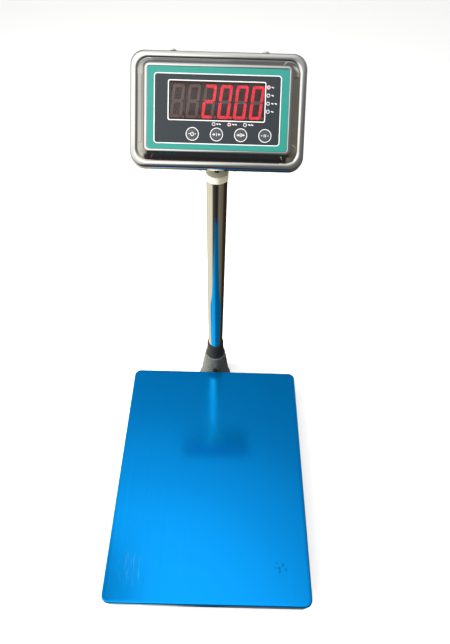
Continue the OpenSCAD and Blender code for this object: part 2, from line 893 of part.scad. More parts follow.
module led_digits() {
    color("dimgray") on_face()
        for (i = [0:digit_count - 1])
            translate([digit_x + (i - (digit_count - 1) / 2) * digit_pitch, window_y, board_top])
                translate([-digit_pitch / 2 + gap, -window_h / 2 + 2.5, 0])
                    cube([digit_pitch - 2 * gap, window_h - 5, 8]);
}

module board_standoffs() {
    color("goldenrod") on_face()
        for (c = corners)
            translate([c[0] * standoff_x, c[1] * standoff_y, board_top - board_t - 3]) {
                cylinder(d = 3, h = board_t + 3);
                translate([0, 0, board_t + 3]) cylinder(d = 5, h = panel_seat - shell_t - board_top);
                cylinder(d = 5.5, h = 3);
            }
}

module status_lamps() {
    color("crimson") on_face()
        at_lamps() translate([0, 0, board_top]) cylinder(d = lamp_d, h = panel_seat - board_top);
}

module battery() {
    t = indicator_depth - shell_t + board_top - board_t - 6;
    color("royalblue") on_face()
        translate([18, 4, back_w + shell_t]) cube([80, 50, t]);
}

module case_screws() {
    color("silver") on_face()
        for (x = [-1, 1])
            translate([x * case_screw_x, indicator_height / 2, case_screw_w]) rotate([-90, 0, 0]) {
                translate([0, 0, -8]) cylinder(d = case_screw_d, h = 8);
                cylinder(d = 13, h = 1.4);
                translate([0, 0, 1.4]) cylinder(d = 10, h = 2.2);
            }
}

module cable_gland() {
    color("black") on_face()
        translate([0, gland_y, back_w])
            mirror([0, 0, 1])
                difference() {
                    union() {
                        translate([0, 0, -shell_t - 5]) cylinder(d = 12, h = shell_t + 5);
                        hexagon(15, 5);
                        translate([0, 0, 5]) cylinder(d = 15, h = 6);
                        translate([0, 0, 11]) cylinder(d1 = 14, d2 = 9, h = 6);
                        translate([0, 0, -shell_t - 4]) hexagon(17, 4);
                    }
                    translate([0, 0, -shell_t - 6]) cylinder(r = cable_d / 2 + gap, h = shell_t + 24);
                }
}

module charger_socket() {
    color("black") on_face()
        translate([socket_x, socket_y, back_w])
            mirror([0, 0, 1])
                difference() {
                    union() {
                        translate([0, 0, -shell_t - 12]) cylinder(d = 8, h = shell_t + 14);
                        hexagon(11, 2);
                        translate([0, 0, -shell_t - 3]) hexagon(12, 3);
                    }
                    translate([0, 0, -shell_t - 9]) cylinder(r = 1.8, h = shell_t + 12);
                }
}

// ---------------------------------------------------------------- cables

module signal_cable() {
    color("black") at_platform() cable(cable_route, cable_d);
}

module cable_loop() {
    color("black") translate([0, column_y, column_top]) cable(loop_route, cable_d);
}

pan();
protective_film();
pan_pads();
load_frame_side_tubes();
load_frame_cross_tubes();
load_frame_plate();
load_cell();
load_cell_lower_spacer();
load_cell_upper_spacer();
load_cell_lower_bolts();
load_cell_upper_bolts();
base_side_rails();
base_cross_rails();
base_centre_beam();
rail_end_caps();
overload_stops();
overload_stop_nuts();
foot_pad_front_left();
foot_pad_front_right();
foot_pad_rear_left();
foot_pad_rear_right();
foot_stud_front_left();
foot_stud_front_right();
foot_stud_rear_left();
foot_stud_rear_right();
levelling_lock_nuts();
bubble_level_body();
bubble_level_vial();
column_bracket();
column_foot();
column_foot_bolts();
column_clamp_screw();
column_tube();
swivel_head();
tilt_bolts();
tilt_knob_left();
tilt_knob_right();
tilt_bracket();
tilt_bracket_screws();
front_shell();
rear_shell();
shell_gasket();
overlay_panel();
display_window();
key_power();
key_tare();
key_zero();
key_hold();
key_switches();
display_board();
led_digits();
board_standoffs();
status_lamps();
battery();
case_screws();
cable_gland();
charger_socket();
cable_grommet();
signal_cable();
cable_loop();
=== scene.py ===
"""Looks of a bench scale: film-covered pan, load frame, base, column and tilting indicator.

Lengths are in metres in the part's own frame: +Z up, +X to the operator's right and +Y from
the operator towards the column. Names that end in _mm are in millimetres. Pieces are surfaces
worked out as whole arrays: an outline or a profile carried round, along or over another.
"""

import logging
import math
from dataclasses import dataclass, field, replace
from enum import Enum
from typing import Callable, Optional, Sequence

import bpy
import numpy as np
from mathutils import Matrix, Vector


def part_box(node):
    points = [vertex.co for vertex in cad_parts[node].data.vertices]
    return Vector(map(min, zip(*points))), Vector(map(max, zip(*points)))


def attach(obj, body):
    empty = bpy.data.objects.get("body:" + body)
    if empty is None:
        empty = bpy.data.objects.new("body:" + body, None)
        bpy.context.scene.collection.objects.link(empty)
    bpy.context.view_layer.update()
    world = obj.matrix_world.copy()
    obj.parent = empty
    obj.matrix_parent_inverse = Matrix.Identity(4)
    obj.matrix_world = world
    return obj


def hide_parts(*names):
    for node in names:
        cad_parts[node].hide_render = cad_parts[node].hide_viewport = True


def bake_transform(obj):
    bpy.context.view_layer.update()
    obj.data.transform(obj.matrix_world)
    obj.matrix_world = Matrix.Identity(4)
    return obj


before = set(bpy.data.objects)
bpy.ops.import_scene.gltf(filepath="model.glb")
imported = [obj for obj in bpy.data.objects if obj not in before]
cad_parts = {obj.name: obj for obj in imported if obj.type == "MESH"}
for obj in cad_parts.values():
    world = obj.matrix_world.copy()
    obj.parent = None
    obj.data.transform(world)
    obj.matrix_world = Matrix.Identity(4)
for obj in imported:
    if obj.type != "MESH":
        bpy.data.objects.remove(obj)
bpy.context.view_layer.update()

MM = 0.001
TAU = 2 * math.pi
LOG = logging.getLogger("bench_scale")
Array = np.ndarray
Colour = tuple[float, float, float]
Node = bpy.types.Node
Socket = bpy.types.NodeSocket


# --- colours ---


def srgb(red: int, green: int, blue: int) -> Colour:
    """Turns an eight-bit display colour into a linear one.

    Args:
        red, green, blue: display values from 0 to 255.

    Returns:
        The linear colour that a shader takes.
    """
    shares = np.array([red, green, blue]) / 255.0
    low, high = shares / 12.92, ((shares + 0.055) / 1.055) ** 2.4
    linear = np.where(shares <= 0.04045, low, high)
    return tuple(float(v) for v in linear)


# --- shapes as arrays ---


def rounded_path(corners: Sequence[Sequence[float]], closed: bool = False, steps: int = 6) -> Array:
    """Rounds the corners of a polyline with arcs.

    Each corner is replaced by the arc of its own radius that touches both of its legs: it starts
    radius * tan(half the turn) before the corner, and turns evenly by the corner's turn.

    Args:
        corners: points as (first, second, radius).
        closed: whether the last point joins the first.
        steps: pieces in each arc.

    Returns:
        The rounded line, as an array of points by two.
    """
    data = np.array(corners, float)
    spots, radii = data[:, :2], data[:, 2]
    before, after = np.roll(spots, 1, 0), np.roll(spots, -1, 0)
    pieces = []
    for i, (spot, radius) in enumerate(zip(spots, radii)):
        ends = not closed and i in (0, len(spots) - 1)
        if ends or radius <= 0:
            pieces.append(spot[None])
            continue
        into = (spot - before[i]) / np.linalg.norm(spot - before[i])
        out = (after[i] - spot) / np.linalg.norm(after[i] - spot)
        turn = math.atan2(into[0] * out[1] - into[1] * out[0], into @ out)
        if abs(turn) < 1e-6:
            pieces.append(spot[None])
            continue
        start = spot - into * radius * abs(math.tan(turn / 2))
        side = np.array([-into[1], into[0]]) * math.copysign(1, turn)
        angle = np.linspace(0, abs(turn), steps + 1)[:, None]
        pieces.append(start + into * radius * np.sin(angle) + side * radius * (1 - np.cos(angle)))
    return np.concatenate(pieces)


def resampled(line: Array, step: float) -> Array:
    """Adds points along a line so that none are further apart than step, keeping its corners.

    Args:
        line: points in order.
        step: the longest gap allowed.

    Returns:
        The line with its stretches divided evenly.
    """
    gaps = np.linalg.norm(np.diff(line, axis=0), axis=1)
    counts = np.maximum(np.ceil(gaps / step).astype(int), 1)
    place = np.concatenate([i + np.arange(n) / n for i, n in enumerate(counts)] + [[len(line) - 1]])
    return np.stack([np.interp(place, np.arange(len(line)), line[:, k]) for k in range(line.shape[1])], 1)


def resampled_ring(line: Array, step: float) -> Array:
    """The same for a line whose last point joins its first."""
    return resampled(np.concatenate([line, line[:1]]), step)[:-1]


def raised(flat: Array, heights: Array) -> Array:
    """Rows of flat points, with each row lifted to its own height."""
    return np.concatenate([flat, np.broadcast_to(heights[:, None, None], flat.shape[:2] + (1,))], -1)


def polar(reach: Array, angle: Array, height: object) -> Array:
    """Points at (reach * cos, reach * sin, height) for arrays of reach and angle."""
    flat = np.broadcast_to(height, reach.shape)
    return np.stack([reach * np.cos(angle), reach * np.sin(angle), flat], -1)


def turns(count: int) -> Array:
    """Evenly spread angles over one whole turn, with its end left out."""
    return np.arange(count) / count * TAU


def circle(count: int) -> Array:
    """Points round a circle of radius 1."""
    angle = turns(count)
    return np.stack([np.cos(angle), np.sin(angle)], 1)


@dataclass(frozen=True)
class Outline:
    """The columns of a rounded rectangle: quarter arcs joined by straight sides.

    A column on an arc is its corner's centre plus radius times a direction; a column on a side
    mixes the end of one arc with the start of the next.
    """

    arc: int = 10
    side: int = 8
    bunch: float = 0.0

    def mixes(self) -> Array:
        """Shares along a side: even, or with two fifths of them bunched into each end."""
        even = np.arange(1, self.side) / self.side
        if not self.bunch:
            return even
        return np.interp(even, [0, 0.42, 0.58, 1], [0, self.bunch, 1 - self.bunch, 1])

    def columns(self) -> tuple[Array, Array, Array]:
        """The corner signs, directions and mixes of all columns.

        Returns:
            signs and directions, each columns by 2 ends by 2, and the mix of the second end.
        """
        signs, ways, mixes = [], [], []
        corner = np.array([[1, 1], [-1, 1], [-1, -1], [1, -1]], float)
        for i in range(4):
            angle = i * TAU / 4 + np.linspace(0, TAU / 4, self.arc + 1)
            way = np.stack([np.cos(angle), np.sin(angle)], 1)
            signs.append(np.broadcast_to(corner[i], (len(angle), 2, 2)))
            ways.append(np.stack([way, way], 1))
            mixes.append(np.zeros(len(angle)))
            mix = self.mixes()
            ends = np.stack([corner[i], corner[(i + 1) % 4]])
            signs.append(np.broadcast_to(ends, (len(mix), 2, 2)))
            ways.append(np.broadcast_to(way[-1], (len(mix), 2, 2)))
            mixes.append(mix)
        return np.concatenate(signs), np.concatenate(ways), np.concatenate(mixes)

    def points(self, half_w: Array, half_h: Array, radius: Array) -> Array:
        """Carries the outline through rows of half widths, half heights and corner radii.

        Returns:
            Points as rows by columns by 2.
        """
        half_w, half_h, radius = np.broadcast_arrays(*np.atleast_1d(half_w, half_h, radius))
        signs, ways, mix = self.columns()
        size = np.stack([half_w - radius, half_h - radius], 1)[:, None, None, :]
        ends = signs[None] * size + ways[None] * radius[:, None, None, None]
        return ends[:, :, 0] * (1 - mix)[None, :, None] + ends[:, :, 1] * mix[None, :, None]


@dataclass(frozen=True)
class Seat:
    """A place to build on: an origin and three axes in the part's frame."""

    origin: Array = field(default_factory=lambda: np.zeros(3))
    right: Array = field(default_factory=lambda: np.array([1.0, 0, 0]))
    up: Array = field(default_factory=lambda: np.array([0, 1.0, 0]))
    out: Array = field(default_factory=lambda: np.array([0, 0, 1.0]))

    def lift(self, points: Array) -> Array:
        """Takes local points to the part's frame."""
        return self.origin + points @ np.stack([self.right, self.up, self.out])

    def spot(self, right: float, up: float, out: float) -> Array:
        """The point that lies so many millimetres along each axis."""
        return self.lift(np.array([[right, up, out]]) * MM)[0]

    def at(self, right: float, up: float) -> "Seat":
        """The same seat shifted by millimetres along its right and up axes."""
        return self.moved(right * MM, up * MM)

    def flipped(self) -> "Seat":
        """The same place, facing the other way."""
        return Seat(self.origin, self.right, -self.up, -self.out)

    def extent(self, node: str) -> tuple[Array, Array]:
        """The lowest and highest local corners of a CAD node."""
        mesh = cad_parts[node].data
        found = np.empty(len(mesh.vertices) * 3, np.float32)
        mesh.vertices.foreach_get("co", found)
        local = (found.reshape(-1, 3) - self.origin) @ np.stack([self.right, self.up, self.out]).T
        return local.min(0), local.max(0)

    def moved(self, right: float = 0, up: float = 0, out: float = 0) -> "Seat":
        """The same seat shifted along its own axes."""
        shift = self.right * right + self.up * up + self.out * out
        return Seat(self.origin + shift, self.right, self.up, self.out)


WORLD = Seat()


def upright(x: float, y: float, z: float) -> Seat:
    """A seat at a point that faces up."""
    return Seat(np.array([x, y, z]))


def sideways(side: int, x: float, y: float, z: float) -> Seat:
    """A seat that faces right for 1 and left for -1, x from the middle on that side."""
    return Seat(np.array([side * x, y, z]), np.array([0, float(side), 0]), np.array([0, 0, 1.0]),
                np.array([float(side), 0, 0]))


def seat_facing(origin: Sequence[float], out: Sequence[float]) -> Seat:
    """A seat whose out axis points the given way, with its right axis as level as it can be."""
    out = np.array(out, float) / np.linalg.norm(out)
    across = np.array([1.0, 0, 0]) if abs(out[0]) < 0.9 else np.array([0, 1.0, 0])
    right = across - out * (across @ out)
    right /= np.linalg.norm(right)
    return Seat(np.array(origin, float), right, np.cross(out, right), out)


class Skin:
    """Gathers closed grids of points and makes one mesh piece of them."""

    def __init__(self, name: str) -> None:
        """Starts an empty skin for the piece of that name."""
        self.name = name
        self.spots: list[Array] = []
        self.quads: list[Array] = []
        self.tris: list[Array] = []
        self.count = 0

    def grid(self, points: Array, seat: Seat = WORLD, ring: bool = True, loop: bool = False,
             caps: bool = True) -> "Skin":
        """Adds a closed grid, turned so that its faces look outwards.

        Neighbouring points of the grid are joined by quads. Rings close round the columns, loops
        close round the rows, and caps fan from the middle of the first and last rows.

        Args:
            points: rows by columns by 3, local to the seat.
            seat: the place the points are local to.
            ring: whether the last column joins the first.
            loop: whether the last row joins the first.
            caps: whether the first and last rows are closed, when rows don't loop.

        Returns:
            This skin.
        """
        rows, cols = points.shape[:2]
        spots = seat.lift(points.reshape(-1, 3))
        index = np.arange(rows * cols).reshape(rows, cols)
        low = index if loop else index[:-1]
        high = np.roll(index, -1, 0) if loop else index[1:]
        turn = (lambda a: np.roll(a, -1, 1)) if ring else (lambda a: a[:, 1:])
        keep = slice(None) if ring else slice(0, -1)
        quads = np.stack([low[:, keep], turn(low), turn(high), high[:, keep]], -1).reshape(-1, 4)
        tris = np.empty((0, 3), int)
        if caps and not loop:
            fans = []
            for row, order in ((index[0], 1), (index[-1], -1)):
                hub = len(spots)
                spots = np.concatenate([spots, spots[row].mean(0)[None]])
                pair = np.stack([row, np.roll(row, -1)][::order], 1)
                fans.append(np.column_stack([pair[:, ::-1], np.full(len(row), hub)]))
            tris = np.concatenate(fans)
        halves = np.concatenate([quads[:, [0, 1, 2]], quads[:, [0, 2, 3]], tris])
        a, b, c = (spots[halves[:, k]] - spots.mean(0) for k in range(3))
        if np.einsum("ij,ij->i", a, np.cross(b, c)).sum() < 0:
            quads, tris = quads[:, ::-1], tris[:, ::-1]
        self.spots.append(spots)
        self.quads.append(quads + self.count)
        self.tris.append(tris + self.count)
        self.count += len(spots)
        return self

    def turned(self, profile: Array, seat: Seat = WORLD, segments: int = 64,
               swell: Optional[Callable[[Array, Array], Array]] = None, loop: bool = False) -> "Skin":
        """Carries a profile of (radius, height) once round the seat's out axis.

        Each point is (radius * cos, radius * sin, height). swell, where given, takes the angle and
        the height and gives a factor for the radius.
        """
        angle = turns(segments)
        radius, height = profile[:, :1], profile[:, 1:2]
        reach = radius * (swell(angle[None], height) if swell else np.ones((1, segments)))
        return self.grid(polar(reach, angle, height), seat, loop=loop)

    def slab(self, half_w: float, half_h: float, radius: float, low: float, high: float, edge: float,
             seat: Seat = WORLD, outline: Outline = Outline(), steps: int = 4) -> "Skin":
        """A rounded plate whose upper and lower edges are rolled by quarter circles.

        At each height the outline is drawn in by edge * (1 - cosine), so the section is a
        rectangle with round corners.
        """
        angle = np.linspace(0, TAU / 4, steps + 1)
        inset = edge * (1 - np.sin(angle))
        height = edge * (1 - np.cos(angle))
        insets = np.concatenate([inset, inset[::-1]])
        heights = np.concatenate([low + height, high - height[::-1]])
        flat = outline.points(half_w - insets, half_h - insets, np.maximum(radius - insets, radius * 0.2))
        return self.grid(raised(flat, heights), seat)

    def swept(self, path: Array, radius: Array, sides: int = 16, across: Optional[Array] = None,
              close: bool = False) -> "Skin":
        """A round tube along a path.

        Each ring stands square to the path's own direction. Its first axis is the part of the
        across vector that is square to that direction, and its second completes the pair.
        """
        along = np.gradient(path, axis=0)
        if close:
            along = np.roll(path, -1, 0) - np.roll(path, 1, 0)
        along /= np.linalg.norm(along, axis=1, keepdims=True)
        across = np.array([1.0, 0, 0]) if across is None else across
        first = across - along * (along @ across)[:, None]
        first /= np.linalg.norm(first, axis=1, keepdims=True)
        second = np.cross(along, first)
        angle = turns(sides)
        radius = np.broadcast_to(radius, len(path))[:, None, None]
        ring = first[:, None] * np.cos(angle)[None, :, None] + second[:, None] * np.sin(angle)[None, :, None]
        return self.grid(path[:, None] + ring * radius, loop=close, caps=not close)

    def ribbon(self, line: Array, width: float, low: float, high: float, seat: Seat = WORLD,
               closed: bool = False) -> "Skin":
        """A flat strip of the given width that follows a line on the seat's own plane.

        Each edge lies half the width to one side of the line, along the line's normal, stretched
        at corners by one over the cosine of half the turn so that the width stays even.
        """
        near, far = np.roll(line, 1, 0), np.roll(line, -1, 0)
        if not closed:
            near[0], far[-1] = 2 * line[0] - line[1], 2 * line[-1] - line[-2]
        into = (line - near) / np.linalg.norm(line - near, axis=1, keepdims=True)
        out = (far - line) / np.linalg.norm(far - line, axis=1, keepdims=True)
        mid = into + out
        mid /= np.linalg.norm(mid, axis=1, keepdims=True)
        reach = width / 2 / np.maximum(np.einsum("ij,ij->i", mid, into), 0.35)
        side = np.stack([-mid[:, 1], mid[:, 0]], 1) * reach[:, None]
        section = [(line + side, low), (line - side, low), (line - side, high), (line + side, high)]
        points = np.stack([np.column_stack([p, np.full(len(p), z)]) for p, z in section], 1)
        return self.grid(points, seat, ring=True, loop=closed)

    def layers(self, outline: Array, levels: Sequence[Sequence[float]], size: float, seat: Seat) -> "Skin":
        """A plate of a convex outline in millimetres: level by level of (inset, height).

        Each level's outline is the whole one shrunk by inset / size towards the seat's origin.
        """
        rows = [np.column_stack([outline * (1 - inset / size), np.full(len(outline), z)])
                for inset, z in levels]
        return self.grid(np.stack(rows) * MM, seat)

    def object(self, finish: "Finish", crease: float = 35) -> bpy.types.Object:
        """Makes the mesh and an object with its finish.

        Args:
            finish: its material.
            crease: the angle in degrees past which an edge stays sharp.

        Returns:
            The new object, at the origin.
        """
        spots = np.concatenate(self.spots).astype(np.float32)
        quads = np.concatenate(self.quads).astype(np.int32)
        tris = np.concatenate(self.tris).astype(np.int32)
        mesh = bpy.data.meshes.new(self.name)
        mesh.vertices.add(len(spots))
        mesh.vertices.foreach_set("co", spots.ravel())
        corners = np.concatenate([quads.ravel(), tris.ravel()])
        starts = np.concatenate([np.arange(len(quads)) * 4, len(quads) * 4 + np.arange(len(tris)) * 3])
        mesh.loops.add(len(corners))
        mesh.loops.foreach_set("vertex_index", corners)
        mesh.polygons.add(len(starts))
        mesh.polygons.foreach_set("loop_start", starts.astype(np.int32))
        mesh.update(calc_edges=True)
        mesh.validate()
        mesh.polygons.foreach_set("use_smooth", np.ones(len(mesh.polygons), bool))
        mesh.set_sharp_from_angle(angle=math.radians(crease))
        made = bpy.data.objects.new(self.name, mesh)
        bpy.context.scene.collection.objects.link(made)
        mesh.materials.append(finish.material())
        return made

    def piece(self, body: str, slot: str, finish: "Finish", replaces: Sequence[str] = (),
              crease: float = 35) -> bpy.types.Object:
        """Makes the mesh and puts it on its body.

        Args:
            body: the CAD body that it moves with.
            slot: not used.
            finish: its material.
            replaces: the CAD nodes that it stands for.
            crease: the angle in degrees past which an edge stays sharp.

        Returns:
            The new object.
        """
        made = self.object(finish, crease)
        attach(made, body)
        if replaces:
            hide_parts(*replaces)
        LOG.info("%s rides on %s, %d faces", self.name, body, len(made.data.polygons))
        return made


def dress(finish: "Finish", *nodes: str) -> None:
    """Gives CAD nodes a finish and leaves their shapes alone."""
    for node in nodes:
        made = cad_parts[node]
        made.data.materials.clear()
        made.data.materials.append(finish.material())
        LOG.info("%s keeps its shape", node)


# --- shared shader groups ---


class Effect(Enum):
    """The shared surface effects, each a node group that puts out values only."""

    GRAIN = "grain"
    MOTTLE = "mottle"
    SCRATCHES = "scratches"
    DUST = "dust"


class Weaver:
    """Places and links the nodes of one tree."""

    def __init__(self, tree: bpy.types.NodeTree) -> None:
        """Works on that tree."""
        self.tree = tree

    def add(self, kind: str, inputs: Optional[dict] = None, **settings: object) -> Node:
        """Adds a node, sets its properties and fills its inputs with values or links.

        Args:
            kind: the node's type name.
            inputs: input name or number to a value or another node's output.
            settings: properties of the node.

        Returns:
            The node.
        """
        node = self.tree.nodes.new(kind)
        for name, value in settings.items():
            setattr(node, name, value)
        for name, value in (inputs or {}).items():
            if isinstance(value, Socket):
                self.tree.links.new(value, node.inputs[name])
            else:
                node.inputs[name].default_value = value
        return node

    def sum(self, kind: str, first: object, second: object = 0.0, clamp: bool = False) -> Socket:
        """A math node's output for the given operation."""
        return self.add("ShaderNodeMath", {0: first, 1: second}, operation=kind, use_clamp=clamp).outputs[0]

    def span(self, value: object, low: float, high: float, to_low: float = 0.0,
             to_high: float = 1.0) -> Socket:
        """Maps a value smoothly from one range to another."""
        made = self.add("ShaderNodeMapRange", {"Value": value, "From Min": low, "From Max": high,
                                               "To Min": to_low, "To Max": to_high},
                        interpolation_type="SMOOTHSTEP")
        return made.outputs["Result"]

    def mix(self, share: object, first: object, second: object) -> Socket:
        """Mixes two colours."""
        made = self.add("ShaderNodeMix", data_type="RGBA")
        for number, value in ((0, share), (6, first), (7, second)):
            if isinstance(value, Socket):
                self.tree.links.new(value, made.inputs[number])
            else:
                made.inputs[number].default_value = value if number == 0 else (*value, 1)
        return made.outputs[2]

    def noise(self, place: object, scale: object, detail: float = 3, rough: float = 0.5) -> Socket:
        """A noise texture's value."""
        made = self.add("ShaderNodeTexNoise", {"Vector": place, "Scale": scale, "Detail": detail,
                                               "Roughness": rough})
        return made.outputs["Fac"]

    def stretched(self, place: object, scale: tuple, turn: tuple = (0, 0, 0),
                  shift: tuple = (0, 0, 0)) -> Socket:
        """A place that is moved, turned and scaled."""
        made = self.add("ShaderNodeMapping", {"Vector": place, "Location": shift, "Rotation": turn,
                                              "Scale": scale})
        return made.outputs["Vector"]


def _grain(w: Weaver, give: dict, take: dict) -> None:
    """Fine lines along one way: noise that is drawn out long, in two sizes."""
    fine = w.noise(give["Place"], 1.0, 2)
    broad = w.noise(w.stretched(give["Place"], (0.15, 0.15, 0.15)), 1.0, 2)
    both = w.sum("ADD", w.sum("MULTIPLY", fine, 0.6), w.sum("MULTIPLY", broad, 0.4))
    take["Value"](w.sum("MULTIPLY", w.sum("SUBTRACT", both, 0.5), give["Strength"]))
    take["Height"](both)


def _mottle(w: Weaver, give: dict, take: dict) -> None:
    """Soft uneven patches at two scales, centred on zero."""
    broad = w.noise(give["Place"], give["Scale"], 4.0)
    fine = w.noise(give["Place"], w.sum("MULTIPLY", give["Scale"], 9.0), 2.0)
    both = w.sum("ADD", w.sum("MULTIPLY", broad, 0.7), w.sum("MULTIPLY", fine, 0.3))
    take["Value"](w.sum("MULTIPLY", w.sum("SUBTRACT", both, 0.5), give["Strength"]))


def _scratches(w: Weaver, give: dict, take: dict) -> None:
    """Sparse thin lines: the narrow middle band of a long-drawn noise, broken by a broad one."""
    lines = w.noise(give["Place"], 1.0, 1)
    thin = w.span(w.sum("ABSOLUTE", w.sum("SUBTRACT", lines, 0.5)), 0.0, 0.004, 1.0, 0.0)
    where = w.span(w.noise(w.stretched(give["Place"], (0.3, 0.3, 0.3)), 1.3, 2), 0.52, 0.68)
    take["Mask"](w.sum("MULTIPLY", w.sum("MULTIPLY", thin, where), give["Amount"]))


def _dust(w: Weaver, give: dict, take: dict) -> None:
    """Dust that lies where a face looks up, in patches."""
    up = w.add("ShaderNodeSeparateXYZ", {0: w.add("ShaderNodeNewGeometry").outputs["Normal"]}).outputs["Z"]
    patch = w.span(w.noise(give["Place"], 14, 6, 0.65), 0.45, 0.8)
    take["Mask"](w.sum("MULTIPLY", w.sum("MULTIPLY", patch, w.span(up, 0.3, 1.0)), give["Amount"]))


RECIPES: dict[Effect, tuple[dict, Sequence[str], Callable]] = {
    Effect.GRAIN: ({"Strength": 1.0}, ("Value", "Height"), _grain),
    Effect.MOTTLE: ({"Scale": 20.0, "Strength": 1.0}, ("Value",), _mottle),
    Effect.SCRATCHES: ({"Amount": 1.0}, ("Mask",), _scratches),
    Effect.DUST: ({"Amount": 0.3}, ("Mask",), _dust),
}


def shared_group(effect: Effect) -> bpy.types.NodeTree:
    """The node group of an effect, built the first time it is asked for."""
    found = bpy.data.node_groups.get(effect.value)
    if found:
        return found
    values, results, weave = RECIPES[effect]
    tree = bpy.data.node_groups.new(effect.value, "ShaderNodeTree")
    tree.interface.new_socket("Place", in_out="INPUT", socket_type="NodeSocketVector")
    for name, value in values.items():
        socket = tree.interface.new_socket(name, in_out="INPUT", socket_type="NodeSocketFloat")
        socket.default_value = value
    for name in results:
        tree.interface.new_socket(name, in_out="OUTPUT", socket_type="NodeSocketFloat")
    w = Weaver(tree)
    start, end = w.add("NodeGroupInput"), w.add("NodeGroupOutput")
    give = {s.name: s for s in start.outputs if s.name}
    take = {name: (lambda s, n=name: tree.links.new(s, end.inputs[n])) for name in results}
    weave(w, give, take)
    return tree


# --- finishes ---


@dataclass(frozen=True)
class Finish:
    """A finish whose colour and gloss vary in soft patches."""

    name: str
    colour: Colour
    rough: float = 0.5
    metal: float = 0.0
    patch_scale: float = 12.0
    patch_colour: float = 0.12
    patch_rough: float = 0.15
    coat: float = 0.0
    specular: float = 0.5
    dust: float = 0.0

    def material(self) -> bpy.types.Material:
        """The finish's material, built the first time it is asked for."""
        found = bpy.data.materials.get(self.name)
        if found:
            return found
        made = bpy.data.materials.new(self.name)
        made.use_nodes = True
        made.diffuse_color = (*self.colour, 1)
        w = Weaver(made.node_tree)
        shader = made.node_tree.nodes["Principled BSDF"]
        shader.inputs["Metallic"].default_value = self.metal
        shader.inputs["Coat Weight"].default_value = self.coat
        shader.inputs["Coat Roughness"].default_value = 0.12
        shader.inputs["Specular IOR Level"].default_value = self.specular
        place = w.add("ShaderNodeTexCoord").outputs["Object"]
        self.weave(w, shader, place)
        return made

    def group(self, w: Weaver, effect: Effect, place: object, **values: float) -> Node:
        """Places a shared effect in this material with its own values."""
        node = w.add("ShaderNodeGroup", node_tree=shared_group(effect))
        w.tree.links.new(place, node.inputs["Place"])
        for name, value in values.items():
            node.inputs[name].default_value = value
        return node

    def base(self, w: Weaver, place: object) -> Socket:
        """The colour before patches and dust."""
        made = w.add("ShaderNodeRGB")
        made.outputs[0].default_value = (*self.colour, 1)
        return made.outputs[0]

    def patched(self, w: Weaver, shader: Node, place: object, base: object) -> None:
        """Links a colour that lightens and darkens in patches, and gloss that follows it."""
        patch = self.group(w, Effect.MOTTLE, place, Scale=self.patch_scale, Strength=1.0).outputs["Value"]
        gain = w.sum("ADD", w.sum("MULTIPLY", patch, self.patch_colour * 2), 1.0)
        colour = w.add("ShaderNodeVectorMath", {0: base}, operation="SCALE")
        w.tree.links.new(gain, colour.inputs["Scale"])
        result = colour.outputs[0]
        if self.dust:
            cover = self.group(w, Effect.DUST, place, Amount=self.dust).outputs["Mask"]
            result = w.mix(cover, result, srgb(170, 164, 152))
        w.tree.links.new(result, shader.inputs["Base Color"])
        rough = w.sum("ADD", w.sum("MULTIPLY", patch, self.patch_rough * 2), self.rough, clamp=True)
        w.tree.links.new(rough, shader.inputs["Roughness"])

    def bump(self, w: Weaver, shader: Node, height: object, depth_mm: float) -> None:
        """Links a height, worth depth_mm from 0 to 1, to the shader's normal."""
        node = w.add("ShaderNodeBump", {"Height": height, "Strength": 1.0, "Distance": depth_mm * MM})
        w.tree.links.new(node.outputs["Normal"], shader.inputs["Normal"])

    def weave(self, w: Weaver, shader: Node, place: object) -> None:
        """Links the finish's own nodes. A plain finish has patches and a faint unevenness."""
        self.patched(w, shader, place, self.base(w, place))
        self.bump(w, shader, w.noise(place, 260, 3), 0.02)


@dataclass(frozen=True)
class BrushedSteel(Finish):
    """Steel with a fine grain along X, soft dents and stray scratches."""

    metal: float = 1.0
    grain: tuple[float, float, float] = (6.0, 900.0, 900.0)
    grain_mm: float = 0.004
    wave_mm: float = 0.0
    scratch: float = 0.5
    streak: float = 0.25

    def weave(self, w: Weaver, shader: Node, place: object) -> None:
        """Grain in colour, gloss and height, over patches."""
        grain = self.group(w, Effect.GRAIN, w.stretched(place, self.grain), Strength=self.streak)
        marks = self.group(w, Effect.SCRATCHES, w.stretched(place, (9, 30, 30), (0.3, 0.2, 0.9)),
                           Amount=self.scratch).outputs["Mask"]
        gain = w.sum("ADD", grain.outputs["Value"], 1.0)
        base = w.add("ShaderNodeVectorMath", {0: self.base(w, place)}, operation="SCALE")
        w.tree.links.new(gain, base.inputs["Scale"])
        colour = w.mix(marks, base.outputs[0], (0.9, 0.9, 0.9))
        self.patched(w, shader, place, colour)
        waves = w.sum("MULTIPLY", w.noise(place, 9, 2), self.wave_mm / max(self.grain_mm, 1e-6))
        lines = w.sum("SUBTRACT", grain.outputs["Height"], w.sum("MULTIPLY", marks, 1.5))
        self.bump(w, shader, w.sum("ADD", lines, waves), self.grain_mm)


